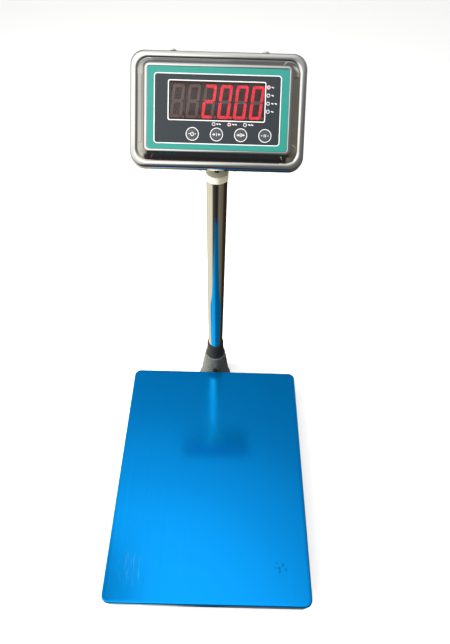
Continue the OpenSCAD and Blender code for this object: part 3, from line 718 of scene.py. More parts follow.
@dataclass(frozen=True)
class FilmSheet(Finish):
    """Blue plastic film on brushed steel: the grain shows through, with tucks and nicks."""

    nick_place: tuple[float, float, float] = (0.0, 0.0, 0.0)
    wrinkle_place: tuple[float, float, float] = (0.0, 0.0, 0.0)

    def near(self, w: Weaver, place: object, middle: tuple, reach: tuple) -> Socket:
        """A soft spot, 1 at its middle and 0 past its reach."""
        shift = w.add("ShaderNodeVectorMath", {0: place, 1: middle}, operation="SUBTRACT").outputs[0]
        share = w.add("ShaderNodeVectorMath", {0: shift, 1: reach}, operation="DIVIDE").outputs[0]
        far = w.add("ShaderNodeVectorMath", {0: share}, operation="LENGTH").outputs["Value"]
        return w.span(far, 0.35, 1.0, 1.0, 0.0)

    def weave(self, w: Weaver, shader: Node, place: object) -> None:
        """Grain lines along Y, a cluster of tucks, and a few nicks."""
        grain = self.group(w, Effect.GRAIN, w.stretched(place, (700, 5, 700)), Strength=0.16)
        gain = w.sum("ADD", grain.outputs["Value"], 1.0)
        base = w.add("ShaderNodeVectorMath", {0: self.base(w, place)}, operation="SCALE")
        w.tree.links.new(gain, base.inputs["Scale"])
        tuck_area = self.near(w, place, self.wrinkle_place, (0.032, 0.034, 0.2))
        fold = w.noise(w.stretched(place, (300, 22, 1), (0, 0, 0.12)), 1.0, 1)
        tuck = w.sum("MULTIPLY", w.span(fold, 0.56, 0.62), tuck_area)
        nick_area = self.near(w, place, self.nick_place, (0.02, 0.02, 0.2))
        nick = w.sum("MULTIPLY", w.span(w.noise(place, 160, 2), 0.58, 0.64), nick_area)
        colour = w.mix(w.sum("MULTIPLY", tuck, 0.35), base.outputs[0], srgb(120, 200, 255))
        colour = w.mix(w.sum("MULTIPLY", nick, 0.55), colour, srgb(5, 60, 130))
        self.patched(w, shader, place, colour)
        relief = w.sum("ADD", w.sum("MULTIPLY", grain.outputs["Height"], 0.05), w.sum("MULTIPLY", tuck, 0.5))
        relief = w.sum("ADD", relief, w.sum("MULTIPLY", w.noise(place, 5, 1), 1.6))
        self.bump(w, shader, w.sum("SUBTRACT", relief, w.sum("MULTIPLY", nick, 0.5)), 0.12)


@dataclass(frozen=True)
class Hammertone(Finish):
    """Enamel that dries into small round dimples with dark seams between them."""

    cell: float = 520.0

    def weave(self, w: Weaver, shader: Node, place: object) -> None:
        """Dimples from the distance to scattered points, in height and colour."""
        cells = w.add("ShaderNodeTexVoronoi", {"Vector": place, "Scale": self.cell}, feature="SMOOTH_F1")
        dome = w.span(cells.outputs["Distance"], 0.1, 0.75, 1.0, 0.0)
        pale = w.mix(w.sum("MULTIPLY", dome, 0.75), tuple(0.35 * c for c in self.colour), srgb(138, 139, 128))
        self.patched(w, shader, place, pale)
        height = w.sum("ADD", dome, w.sum("MULTIPLY", w.noise(place, 60, 3), 1.2))
        self.bump(w, shader, height, 0.16)


@dataclass(frozen=True)
class Moulded(Finish):
    """Moulded plastic or rubber with a fine spark-eroded texture."""

    texture: float = 1400.0
    depth_mm: float = 0.02

    def weave(self, w: Weaver, shader: Node, place: object) -> None:
        """Patches, and a fine even stipple."""
        self.patched(w, shader, place, self.base(w, place))
        self.bump(w, shader, w.noise(place, self.texture, 2), self.depth_mm)


@dataclass(frozen=True)
class Powder(Finish):
    """Powder coat with an orange-peel surface."""

    def weave(self, w: Weaver, shader: Node, place: object) -> None:
        """Patches, orange peel and the odd chip."""
        chip = w.span(w.noise(place, 95, 4, 0.7), 0.70, 0.73)
        self.patched(w, shader, place, w.mix(chip, self.base(w, place), srgb(120, 122, 126)))
        peel = w.sum("SUBTRACT", w.noise(place, 420, 2), w.sum("MULTIPLY", chip, 1.5))
        self.bump(w, shader, peel, 0.05)


@dataclass(frozen=True)
class TwoTone(Finish):
    """Printed film: one colour round the border and another inside a rounded field."""

    field_colour: Colour = (0.0, 0.0, 0.0)
    seat: Seat = WORLD
    half_w: float = 0.05
    half_h: float = 0.05
    corner: float = 0.004

    def base(self, w: Weaver, place: object) -> Socket:
        """Distance to a rounded rectangle on the seat's plane picks the colour."""
        spot = w.add("ShaderNodeVectorMath", {0: place, 1: tuple(self.seat.origin)}, operation="SUBTRACT")
        axes = [w.add("ShaderNodeVectorMath", {0: spot.outputs[0], 1: tuple(axis)}, operation="DOT_PRODUCT")
                for axis in (self.seat.right, self.seat.up)]
        over = [w.sum("SUBTRACT", w.sum("ABSOLUTE", axis.outputs["Value"]), half - self.corner)
                for axis, half in zip(axes, (self.half_w, self.half_h))]
        past = [w.sum("MAXIMUM", o, 0.0) for o in over]
        square = w.sum("ADD", w.sum("MULTIPLY", past[0], past[0]), w.sum("MULTIPLY", past[1], past[1]))
        far = w.sum("ADD", w.sum("SQRT", square), w.sum("MINIMUM", w.sum("MAXIMUM", over[0], over[1]), 0.0))
        inside = w.sum("LESS_THAN", far, self.corner)
        return w.mix(inside, self.colour, self.field_colour)


@dataclass(frozen=True)
class Glow(Finish):
    """Lit plastic that shines in its own colour."""

    strength: float = 1.0
    core: Colour = (1.0, 0.2, 0.2)

    def weave(self, w: Weaver, shader: Node, place: object) -> None:
        """Light that is a little uneven, as from separate chips under a diffuser."""
        spots = w.span(w.noise(place, 420, 2), 0.35, 0.65)
        w.tree.links.new(w.mix(spots, self.colour, self.core), shader.inputs["Emission Color"])
        shader.inputs["Emission Strength"].default_value = self.strength
        self.patched(w, shader, place, self.base(w, place))


@dataclass(frozen=True)
class Smoked(Finish):
    """A smoked film that is seen through."""

    alpha: float = 0.5

    def weave(self, w: Weaver, shader: Node, place: object) -> None:
        """Patches, with a constant see-through share."""
        shader.inputs["Alpha"].default_value = self.alpha
        self.patched(w, shader, place, self.base(w, place))
        self.bump(w, shader, w.noise(place, 30, 2), 0.02)


STEEL_SHELL = BrushedSteel("polished_shell_steel", srgb(216, 214, 208), rough=0.09, grain=(12, 700, 700),
                           grain_mm=0.0015, wave_mm=0.10, streak=0.12, scratch=0.6, patch_rough=0.08)
STEEL_BACK = BrushedSteel("rear_shell_steel", srgb(200, 200, 198), rough=0.24, grain=(12, 700, 700),
                          grain_mm=0.002, wave_mm=0.08, streak=0.14, patch_rough=0.1)
STEEL_PAN = BrushedSteel("pan_steel", srgb(196, 197, 198), rough=0.32, grain_mm=0.004)
STEEL_TUBE = BrushedSteel("mirror_tube_steel", srgb(226, 222, 212), rough=0.075, grain=(500, 500, 4),
                          grain_mm=0.0006, wave_mm=0.03, streak=0.06, scratch=0.25, patch_rough=0.04)
ZINC = BrushedSteel("zinc_plate", srgb(176, 178, 184), rough=0.34, grain=(300, 300, 300), grain_mm=0.003,
                    scratch=0.2)
SCREW = Finish("passivated_screw", srgb(190, 190, 184), rough=0.4, metal=0.35)
BLACK_STEEL = Finish("black_oxide", srgb(46, 46, 48), rough=0.42, metal=0.7)
ALUMINIUM = BrushedSteel("milled_aluminium", srgb(206, 208, 212), rough=0.38, grain=(900, 30, 900),
                         grain_mm=0.004)
PAINT = Powder("frame_powder_coat", srgb(78, 82, 88), rough=0.48, dust=0.35)
ENAMEL = Hammertone("hammertone_enamel", srgb(88, 87, 76), rough=0.42, coat=0.1, dust=0.08)
COLLAR = Moulded("collar_rubber", srgb(46, 46, 41), rough=0.6, texture=500, depth_mm=0.03, specular=0.3)
CREAM = Moulded("cream_plastic", srgb(222, 215, 190), rough=0.42, patch_colour=0.05)
BLACK = Moulded("black_plastic", srgb(34, 34, 36), rough=0.46)
RUBBER = Moulded("black_rubber", srgb(30, 30, 31), rough=0.72, texture=700, depth_mm=0.04, dust=0.3)
JACKET = Moulded("cable_jacket", srgb(38, 38, 40), rough=0.55, texture=900, dust=0.1)
BOARD = Finish("circuit_board", srgb(24, 96, 58), rough=0.4)
BRASS = BrushedSteel("turned_brass", srgb(206, 168, 96), rough=0.3, grain_mm=0.002)
WRAP = Finish("battery_wrap", srgb(40, 78, 150), rough=0.35, coat=0.3)
VIAL = Finish("level_liquid", srgb(190, 214, 60), rough=0.08, coat=1.0)
POTTING = Moulded("white_potting", srgb(226, 224, 216), rough=0.5, texture=200, depth_mm=0.05)
PRINT_WHITE = Finish("white_print", srgb(226, 228, 226), rough=0.4, patch_colour=0.04)
PRINT_GREY = Finish("knob_insert", srgb(120, 122, 124), rough=0.4, patch_colour=0.06)
MODULE = Finish("digit_module", srgb(100, 86, 84), rough=0.5)
SEGMENT_OFF = Finish("segment_unlit", srgb(206, 172, 156), rough=0.5)
SEGMENT_ON = Glow("segment_lit", (0.9, 0.0, 0.02), rough=0.5, strength=2.5, core=(1.0, 0.08, 0.11))
LAMP_ON = Glow("lamp_lit", (0.9, 0.0, 0.02), rough=0.4, strength=1.6, core=(1.0, 0.25, 0.25))
LAMP_OFF = Finish("lamp_unlit", srgb(66, 60, 60), rough=0.3)
SMOKE = Smoked("smoked_window", srgb(52, 40, 40), rough=0.14, alpha=0.46, specular=0.6)
TEAL = TwoTone("printed_front_film", srgb(40, 134, 122), rough=0.34, specular=0.35, patch_colour=0.05,
               patch_rough=0.06, field_colour=srgb(42, 47, 51))
KEY_FILM = Finish("key_film", srgb(42, 47, 51), rough=0.34, patch_colour=0.05)
FILM = FilmSheet("protective_film_blue", srgb(0, 164, 255), rough=0.14, metal=0.88, patch_colour=0.05,
                 patch_rough=0.08, patch_scale=5.0)


# --- places taken from the frame ---


FACE_SLOPE = 43.0  # degrees that the face's up axis rises from level
HINGE_DROP = 53.0 * MM
HINGE_GAP = 17.7 * MM
HOUSING_DEPTH = 40.0 * MM
SHELL_THICKNESS = 1.0 * MM


def box(node: str) -> tuple[Array, Array]:
    """The lowest and highest corners of a CAD node's box."""
    low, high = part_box(node)
    return np.array(low), np.array(high)


def inset_spots(node: str, inset: float, inset_y: Optional[float] = None) -> list[tuple[float, float]]:
    """The four places an inset in from the sides of a CAD node's box, seen from above."""
    low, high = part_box(node)
    inset_y = inset if inset_y is None else inset_y
    return [(x, y) for x in (low.x + inset, high.x - inset) for y in (low.y + inset_y, high.y - inset_y)]


def middle(node: str) -> Array:
    """The middle of a CAD node's box."""
    low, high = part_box(node)
    return np.array((low + high) / 2)


def face_seat() -> Seat:
    """The middle of the indicator's flange face, which leans back from the hinge.

    From the hinge it lies HINGE_DROP up the slope, and the housing's depth plus the hinge's gap
    out from it.
    """
    slope = math.radians(FACE_SLOPE)
    up = np.array([0, math.cos(slope), math.sin(slope)])
    out = np.array([0, -math.sin(slope), math.cos(slope)])
    hinge = middle("tilt_bolts")
    reach = HOUSING_DEPTH + HINGE_GAP
    return Seat(hinge + up * HINGE_DROP + out * reach, np.array([1.0, 0, 0]), up, out)


FACE = face_seat()
PAN_MIDDLE = middle("protective_film")
COLUMN_MIDDLE = middle("column_tube")


# --- studio ---


@dataclass
class Studio:
    """Camera, lights, floor and surroundings."""

    eye_mm: tuple[float, float, float] = (13.0, -310.8, 992.4)
    pitch: float = 36.01
    roll: float = 1.88
    yaw: float = -0.40
    focal: float = 448.5
    centre: tuple[float, float] = (223.2, 320.3)
    frame_size: tuple[int, int] = (450, 644)

    def camera(self) -> None:
        """Places the camera over the pan's top, tilted towards the column."""
        data = bpy.data.cameras.new("camera")
        made = bpy.data.objects.new("camera", data)
        bpy.context.scene.collection.objects.link(made)
        wide, tall = self.frame_size
        data.sensor_width = 36.0
        data.sensor_fit = "AUTO"
        data.lens = self.focal * 36.0 / tall
        data.shift_x = (wide / 2 - self.centre[0]) / tall
        data.shift_y = (self.centre[1] - tall / 2) / tall
        data.clip_start, data.clip_end = 0.02, 60
        top = Vector((0, PAN_MIDDLE[1], float(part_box("protective_film")[1].z)))
        yaw, pitch, roll = (Matrix.Rotation(math.radians(angle), 4, axis) for angle, axis in
                            ((self.yaw, "Z"), (self.pitch, "X"), (self.roll, "Z")))
        turn = yaw @ pitch @ roll
        made.matrix_world = Matrix.Translation(top + Vector(self.eye_mm) * MM) @ turn
        bpy.context.scene.camera = made

    def softbox(self, name: str, spot: tuple, aim: tuple, size: float, power: float, shine: bool) -> None:
        """A square soft light that points from a spot to an aim."""
        data = bpy.data.lights.new(name, "AREA")
        data.shape, data.size, data.energy = "SQUARE", size, power
        made = bpy.data.objects.new(name, data)
        bpy.context.scene.collection.objects.link(made)
        made.location = spot
        made.rotation_euler = (Vector(aim) - Vector(spot)).to_track_quat("-Z", "Y").to_euler()
        made.visible_glossy = shine

    def floor(self) -> None:
        """A pale floor: a wide flat disc of rings, under everything."""
        skin = Skin("floor")
        reach = np.array([[0.4, 0.0], [2.0, 0.0], [12.0, 0.0], [12.0, -0.03], [0.4, -0.03]])
        skin.turned(reach, WORLD, 96)
        pale = Finish("pale_floor", srgb(236, 236, 234), rough=0.85, patch_colour=0.02, patch_scale=1.5)
        made = skin.object(pale)
        shader = made.data.materials[0].node_tree.nodes["Principled BSDF"]
        shader.inputs["Emission Color"].default_value = (1, 1, 0.99, 1)
        shader.inputs["Emission Strength"].default_value = 0.46
        made.visible_glossy = False

    def ramp(self, w: Weaver, value: object, stops: Sequence[tuple[float, Colour]]) -> Socket:
        """A colour ramp over a value, from stops of place and linear colour."""
        node = w.add("ShaderNodeValToRGB", {"Fac": value})
        node.color_ramp.interpolation = "EASE"
        marks = node.color_ramp.elements
        while len(marks) < len(stops):
            marks.new(0.5)
        for mark, (place, colour) in zip(marks, stops):
            mark.position = place
        for mark, (place, colour) in zip(sorted(marks, key=lambda m: m.position), stops):
            mark.color = (*colour, 1)
        return node.outputs["Color"]

    def surroundings(self) -> None:
        """What the bright metal mirrors: a room that is bright above and to the left.

        Two ramps run round the compass, one below the horizon and one above it, and both give way
        to a ceiling that has a bright middle and a soft dark patch beside it.
        """
        world = bpy.data.worlds.new("studio")
        bpy.context.scene.world = world
        world.use_nodes = True
        tree = world.node_tree
        w = Weaver(tree)
        way = w.add("ShaderNodeTexCoord").outputs["Generated"]
        axes = w.add("ShaderNodeSeparateXYZ", {0: way}).outputs
        turn = w.sum("ARCTAN2", axes["X"], w.sum("MULTIPLY", axes["Y"], -1.0))
        compass = w.sum("ADD", w.sum("DIVIDE", turn, TAU), 0.5)
        below = self.ramp(w, compass, [
            (0.00, srgb(90, 84, 74)), (0.09, srgb(206, 200, 186)), (0.16, srgb(252, 248, 230)),
            (0.33, srgb(250, 246, 226)), (0.40, srgb(70, 66, 66)), (0.52, srgb(40, 38, 40)),
            (0.58, srgb(122, 116, 102)), (0.68, srgb(110, 102, 86)), (0.76, srgb(48, 42, 34)),
            (0.94, srgb(52, 46, 38))])
        above = self.ramp(w, compass, [
            (0.00, srgb(190, 196, 206)), (0.10, srgb(216, 220, 226)), (0.24, srgb(244, 242, 236)),
            (0.36, srgb(206, 204, 200)), (0.46, srgb(58, 56, 56)), (0.56, srgb(48, 46, 46)),
            (0.66, srgb(92, 88, 82)), (0.76, srgb(116, 110, 102)), (0.84, srgb(232, 230, 226)),
            (0.90, srgb(120, 118, 116))])
        ceiling = self.ramp(w, w.add("ShaderNodeVectorMath", {0: way, 1: (-0.13, -0.07, 0.989)},
                                     operation="DOT_PRODUCT").outputs["Value"], [
            (0.80, srgb(112, 114, 118)), (0.87, srgb(134, 136, 140)), (0.93, srgb(190, 192, 196)),
            (0.965, srgb(238, 240, 242)), (0.985, srgb(255, 255, 255))])
        patch = w.add("ShaderNodeVectorMath", {0: way, 1: (-0.27, 0.06, 0.961)}, operation="DOT_PRODUCT")
        shade = w.span(patch.outputs["Value"], 0.988, 0.9985, 0.0, 0.85)
        ceiling = w.mix(shade, ceiling, srgb(84, 88, 94))
        pane = w.add("ShaderNodeVectorMath", {0: way, 1: (-0.30, -0.40, 0.866)}, operation="DOT_PRODUCT")
        streaks = w.noise(w.stretched(way, (2.5, 11, 4), shift=(0, 3.7, 0)), 1.0, 2)
        clutter = w.span(streaks, 0.36, 0.60, 0.62, 1.0)
        lit = w.sum("MULTIPLY", w.span(pane.outputs["Value"], 0.93, 0.985), clutter)
        ceiling = w.mix(lit, ceiling, (1.75, 1.78, 1.76))
        sides = w.mix(w.span(axes["Z"], -0.22, 0.02), below, above)
        room = w.mix(w.span(axes["Z"], 0.42, 0.84), sides, ceiling)
        seen = w.add("ShaderNodeLightPath").outputs["Is Camera Ray"]
        back = tree.nodes["Background"]
        tree.links.new(w.mix(seen, room, (1.0, 1.0, 1.0)), back.inputs["Color"])
        back.inputs["Strength"].default_value = 1.0

    def build(self) -> None:
        """Sets up the camera, light and floor."""
        self.camera()
        self.surroundings()
        self.softbox("key_softbox", (-0.9, -0.7, 2.3), (0, 0, 0.3), 1.4, 30, False)
        self.softbox("top_softbox", (0.25, 0.1, 2.4), (0, 0, 0.1), 1.2, 14, False)
        self.softbox("side_softbox", (-1.3, -0.1, 0.8), (0, 0.2, 0.66), 0.5, 40, False)
        self.floor()
        bpy.context.scene.view_settings.view_transform = "Standard"
        LOG.info("studio ready")


# --- fasteners and other small turned parts ---


def hex_head(across_flats: float, height: float, seat: Seat, skin: Skin, bore: float = 0.0) -> Skin:
    """A hexagon head or nut on a seat, with the corners of its top turned down.

    Its section is a hexagon of the given size across flats, cut by a 30 degree cone: at each
    angle the radius is the smaller of the hexagon's and the cone's at that height.
    """
    sides = 72
    angle = turns(sides)
    flat = across_flats / 2
    hexagon = flat / np.cos((angle + TAU / 12) % (TAU / 6) - TAU / 12)
    levels = np.array([0, 0.15, 0.7, 0.82, 0.91, 1.0])
    cone = flat * (1.155 - np.maximum(levels - 0.7, 0) / 0.3 * 0.175)
    reach = np.minimum(hexagon[None], cone[:, None])
    reach[0] = np.minimum(reach[0], flat * 1.1)
    levels = levels * height
    if bore:
        top, chamfer = height, bore * 0.12
        inner = np.array([flat * 0.9, bore * 1.12, bore, bore, bore * 1.12])
        reach = np.concatenate([reach, np.repeat(inner[:, None], sides, 1)])
        levels = np.concatenate([levels, [top, top, top - chamfer, chamfer, 0]])
    return skin.grid(polar(reach, angle, levels[:, None]), seat, loop=bool(bore))


def threaded(radius: float, low: float, high: float, pitch: float, seat: Seat, skin: Skin,
             point: float = 0.0) -> Skin:
    """A threaded rod: the radius falls by a V wave of (height / pitch - angle / turn) below the crest."""
    sides = 24
    rows = int(math.ceil((high - low) / pitch * 6))
    angle = turns(sides)
    height = np.linspace(low, high, rows + 1)[:, None]
    phase = (height / pitch - angle / TAU) % 1.0
    depth = 0.61 * pitch * np.abs(2 * phase - 1)
    fade = np.minimum(1, np.minimum(height - low, high - height) / pitch + 0.15)
    reach = radius - depth * fade
    if point:
        reach = np.minimum(reach, radius - np.maximum(height - (high - point), 0) * 0.9)
    return skin.grid(polar(reach, angle, height), seat)


def disc(radius: float, low: float, high: float, edge: float, seat: Seat, skin: Skin,
         segments: int = 48) -> Skin:
    """A turned disc with rolled edges: quarter circles of radius edge join its faces to its rim."""
    line = rounded_path([(radius * 0.3, low, 0), (radius, low, edge), (radius, high, edge),
                         (radius * 0.3, high, 0)], steps=4)
    return skin.turned(line, seat, segments)


def washer(outer: float, inner: float, low: float, high: float, edge: float, seat: Seat, skin: Skin) -> Skin:
    """A flat ring of rectangular section with its corners rounded."""
    line = rounded_path([(inner, low, edge), (outer, low, edge), (outer, high, edge), (inner, high, edge)],
                        closed=True, steps=3)
    return skin.turned(line, seat, 48, loop=True)


def cross_head(radius: float, low: float, high: float, seat: Seat, skin: Skin) -> Skin:
    """A pan head screw: a domed cap, with a cross sunk into it.

    The height is a dome, 1 - (share of radius) to the fourth, less a cross: the smaller of the two
    distances to the axes, through a smooth step, fades out at 0.62 of the radius.
    """
    rings, sides = 16, 64
    share = np.linspace(0.02, 1, rings)[::-1][:, None]
    angle = turns(sides)
    x, y = share * np.cos(angle), share * np.sin(angle)
    near = np.minimum(np.abs(x), np.abs(y))
    cut = (1 - np.clip((near - 0.08) / 0.06, 0, 1)) * (1 - np.clip((share - 0.5) / 0.12, 0, 1))
    z = low + (high - low) * ((1 - 0.45 * share ** 4) - 0.45 * cut)
    cap = np.stack([x * radius, y * radius, z], -1)
    rim = polar(np.full((1, sides), radius), angle, low)
    return skin.grid(np.concatenate([rim, cap]), seat)


# --- platform ---


@dataclass
class WeighingPan:
    """The folded steel pan and the blue film that covers it."""

    sheet: float = 1.2 * MM
    bend: float = 3.0 * MM
    hem: float = 8.0 * MM
    outline: Outline = Outline(arc=14, side=40)

    def fold(self, rows: Array, half_w: float, half_h: float, radius: float) -> Array:
        """Carries rows of (inset, height) round the pan's outline.

        The corner radius shrinks with the inset, so that the wall keeps its thickness.
        """
        inset = rows[:, 0]
        flat = self.outline.points(half_w - inset, half_h - inset, np.maximum(radius - inset, 1.5 * MM))
        return raised(flat, rows[:, 1])

    def section(self, line: Array, thickness: float) -> Array:
        """Both faces of a bent sheet: its middle line, moved half its thickness to either side."""
        along = np.gradient(line, axis=0)
        along /= np.linalg.norm(along, axis=1, keepdims=True)
        side = np.stack([-along[:, 1], along[:, 0]], 1) * thickness / 2
        return np.concatenate([line + side, (line - side)[::-1]])

    def steel(self) -> None:
        """The pan: a flat top, a bent rim and a hem that is folded inwards and up."""
        low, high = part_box("pan")
        t, top, bottom = self.sheet, high.z, low.z
        middle_line = resampled(rounded_path([
            (0.05, top - t / 2, 0), (t / 2, top - t / 2, self.bend - t / 2),
            (t / 2, bottom + t / 2, t * 0.8), (t / 2 + 1.7 * t, bottom + t / 2, t * 0.8),
            (t / 2 + 1.7 * t, bottom + self.hem, 0)], steps=7), 6 * MM)
        rows = self.section(middle_line, t)
        half_w, half_h = high.x, (high.y - low.y) / 2
        skin = Skin("pan_shell")
        skin.grid(self.fold(rows, half_w, half_h, 14.7 * MM), Seat(np.array([0, PAN_MIDDLE[1], 0])))
        skin.piece("pan", "stainless_pan", STEEL_PAN, ["pan"])

    def film(self) -> None:
        """The film: a thin skin over the top and the rim, trimmed by hand just above the hem.

        Its lower edge stands 2.5 mm above the rim's, plus sines of the distance round it.
        """
        low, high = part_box("protective_film")
        t, top = 0.3 * MM, high.z
        line = resampled(rounded_path([
            (0.05, top - t / 2, 0), (t / 2, top - t / 2, self.bend),
            (t / 2, low.z + 2.5 * MM, 0)], steps=8), 6 * MM)
        points = self.fold(self.section(line, t), high.x, (high.y - low.y) / 2, 15 * MM)
        count = points.shape[1]
        turn = np.arange(count) / count * TAU
        wave = (0.7 * np.sin(11 * turn) + 0.5 * np.sin(29 * turn + 1) + 0.3 * np.sin(53 * turn + 2)) * MM
        share = np.clip((low.z + 20 * MM - points[..., 2]) / (17.5 * MM), 0, 1)
        points[..., 2] += wave * share
        finish = replace(FILM, wrinkle_place=(-0.152, PAN_MIDDLE[1] - 0.192, top),
                         nick_place=(0.142, PAN_MIDDLE[1] - 0.188, top))
        Skin("blue_film").grid(points, Seat(np.array([0, PAN_MIDDLE[1], 0]))).piece(
            "pan", "film", finish, ["protective_film"])

    def build(self) -> None:
        """Makes the pan and its film."""
        self.steel()
        self.film()


def rounded_tube(skin: Skin, low: Array, high: Array, axis: int, wall: float,
                 corner: float = 2.5 * MM) -> None:
    """A rectangular tube between two corners, open at both ends.

    The section is a rounded rectangle and the same one drawn in by the wall. Both run along the
    axis, and meet at the ends.
    """
    centre, size = (low + high) / 2, (high - low) / 2
    order = {0: (1, 2), 1: (0, 2)}[axis]
    axes = np.eye(3)
    seat = Seat(centre, axes[order[0]], axes[order[1]], np.cross(axes[order[0]], axes[order[1]]))
    outline = Outline(arc=5, side=3)
    length = size[axis]
    inset = np.array([0.3 * MM, 0, 0, 0.3 * MM, wall - 0.3 * MM, wall, wall, wall - 0.3 * MM])
    reach = np.array([-length, -length + 0.3 * MM, length - 0.3 * MM, length, length, length - 0.3 * MM,
                      -length + 0.3 * MM, -length])
    flat = outline.points(size[order[0]] - inset, size[order[1]] - inset,
                          np.maximum(corner - inset * 0.8, 0.6 * MM))
    skin.grid(raised(flat, reach), seat, loop=True)


def weld(skin: Skin, start: Sequence[float], end: Sequence[float], radius: float = 2.2 * MM) -> None:
    """A weld bead: a half-buried tube whose radius swells and shrinks in overlapping ripples."""
    start, end = np.array(start), np.array(end)
    length = float(np.linalg.norm(end - start))
    share = np.linspace(0, 1, int(length / (0.5 * MM)) + 2)
    ripple = 1 + 0.16 * np.abs(np.sin(share * length / (3.2 * MM) * TAU / 2))
    ends = np.clip(np.minimum(share, 1 - share) * length / radius, 0.15, 1) ** 0.5
    lean = np.array([0.31, 0.52, 0.79])
    skin.swept(start + (end - start) * share[:, None], radius * ripple * ends, 10, across=lean)


def ladder(skin: Skin, sides: str, crosses: str, width: float, wall: float) -> tuple[float, Array, Array]:
    """Two side tubes along Y, and two cross tubes along X at their box's near and far ends.

    Args:
        skin: what the tubes are added to.
        sides, crosses: the CAD nodes whose boxes they fill.
        width, wall: the tubes' width and wall.

    Returns:
        The sides' inner face, the near edge of each cross tube, and the cross tubes' heights.
    """
    low, high = box(sides)
    inner = high[0] - width
    for s in (-1, 1):
        left, right = sorted((s * inner, s * high[0]))
        rounded_tube(skin, np.array([left, low[1], low[2]]), np.array([right, high[1], high[2]]), 1, wall)
    low, high = box(crosses)
    edges = np.array([low[1], high[1] - width])
    for y in edges:
        rounded_tube(skin, np.array([low[0], y, low[2]]), np.array([high[0], y + width, high[2]]), 0, wall)
    return inner, edges, np.array([low[2], high[2]])


@dataclass
class LoadFrame:
    """The welded tube frame under the pan, with its pads and the load cell's upper bolts."""

    wall: float = 2 * MM
    width: float = 25 * MM

    def tubes(self) -> None:
        """Side and cross tubes, with a weld bead up each seam."""
        skin, beads = Skin("load_frame_tubes"), Skin("load_frame_welds")
        sides, crosses = "load_frame_side_tubes", "load_frame_cross_tubes"
        inner, edges, (low, high) = ladder(skin, sides, crosses, self.width, self.wall)
        for y in edges:
            for x in (-inner, inner):
                for edge in (y, y + self.width):
                    weld(beads, (x, edge, low + 3 * MM), (x, edge, high - 2 * MM))
                weld(beads, (x, y + 3 * MM, high - 0.6 * MM), (x, y + self.width - 3 * MM, high - 0.6 * MM),
                     1.6 * MM)
        skin.piece("load_frame", "frame_paint", PAINT, [sides, crosses])
        plate_low, plate_high = box("load_frame_plate")
        for y in (plate_low[1], plate_high[1]):
            for x in (-0.024, 0.024):
                weld(beads, (x - 0.012, y, plate_high[2]), (x + 0.012, y, plate_high[2]))
        beads.piece("load_frame", "frame_paint", PAINT)
        dress(PAINT, "load_frame_plate")

    def pads(self) -> None:
        """Four rubber discs that the pan rests on."""
        skin = Skin("rubber_pads")
        low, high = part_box("pan_pads")
        radius = 12.5 * MM
        for x, y in inset_spots("pan_pads", radius):
            disc(radius, 0, high.z - low.z, 0.9 * MM, upright(x, y, low.z), skin)
        skin.piece("load_frame", "rubber", RUBBER, ["pan_pads"])

    def bolts(self) -> None:
        """Two bolts with washers, heads up, through the plate into the cell."""
        skin = Skin("cell_top_bolts")
        low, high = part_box("load_cell_upper_bolts")
        for y in (low.y + 7.4 * MM, high.y - 7.4 * MM):
            seat = upright(0, y, high.z - 6 * MM)
            hex_head(12.8 * MM, 6 * MM, seat, skin)
            skin.turned(np.array([[2, -26], [4, -25.4], [4, -0.01], [2, 0.3]]) * MM, seat, 32)
        skin.piece("load_frame", "zinc_steel", ZINC, ["load_cell_upper_bolts"])
        dress(ZINC, "load_cell_upper_spacer")

    def build(self) -> None:
        """Makes the frame, pads and bolts."""
        self.tubes()
        self.pads()
        self.bolts()


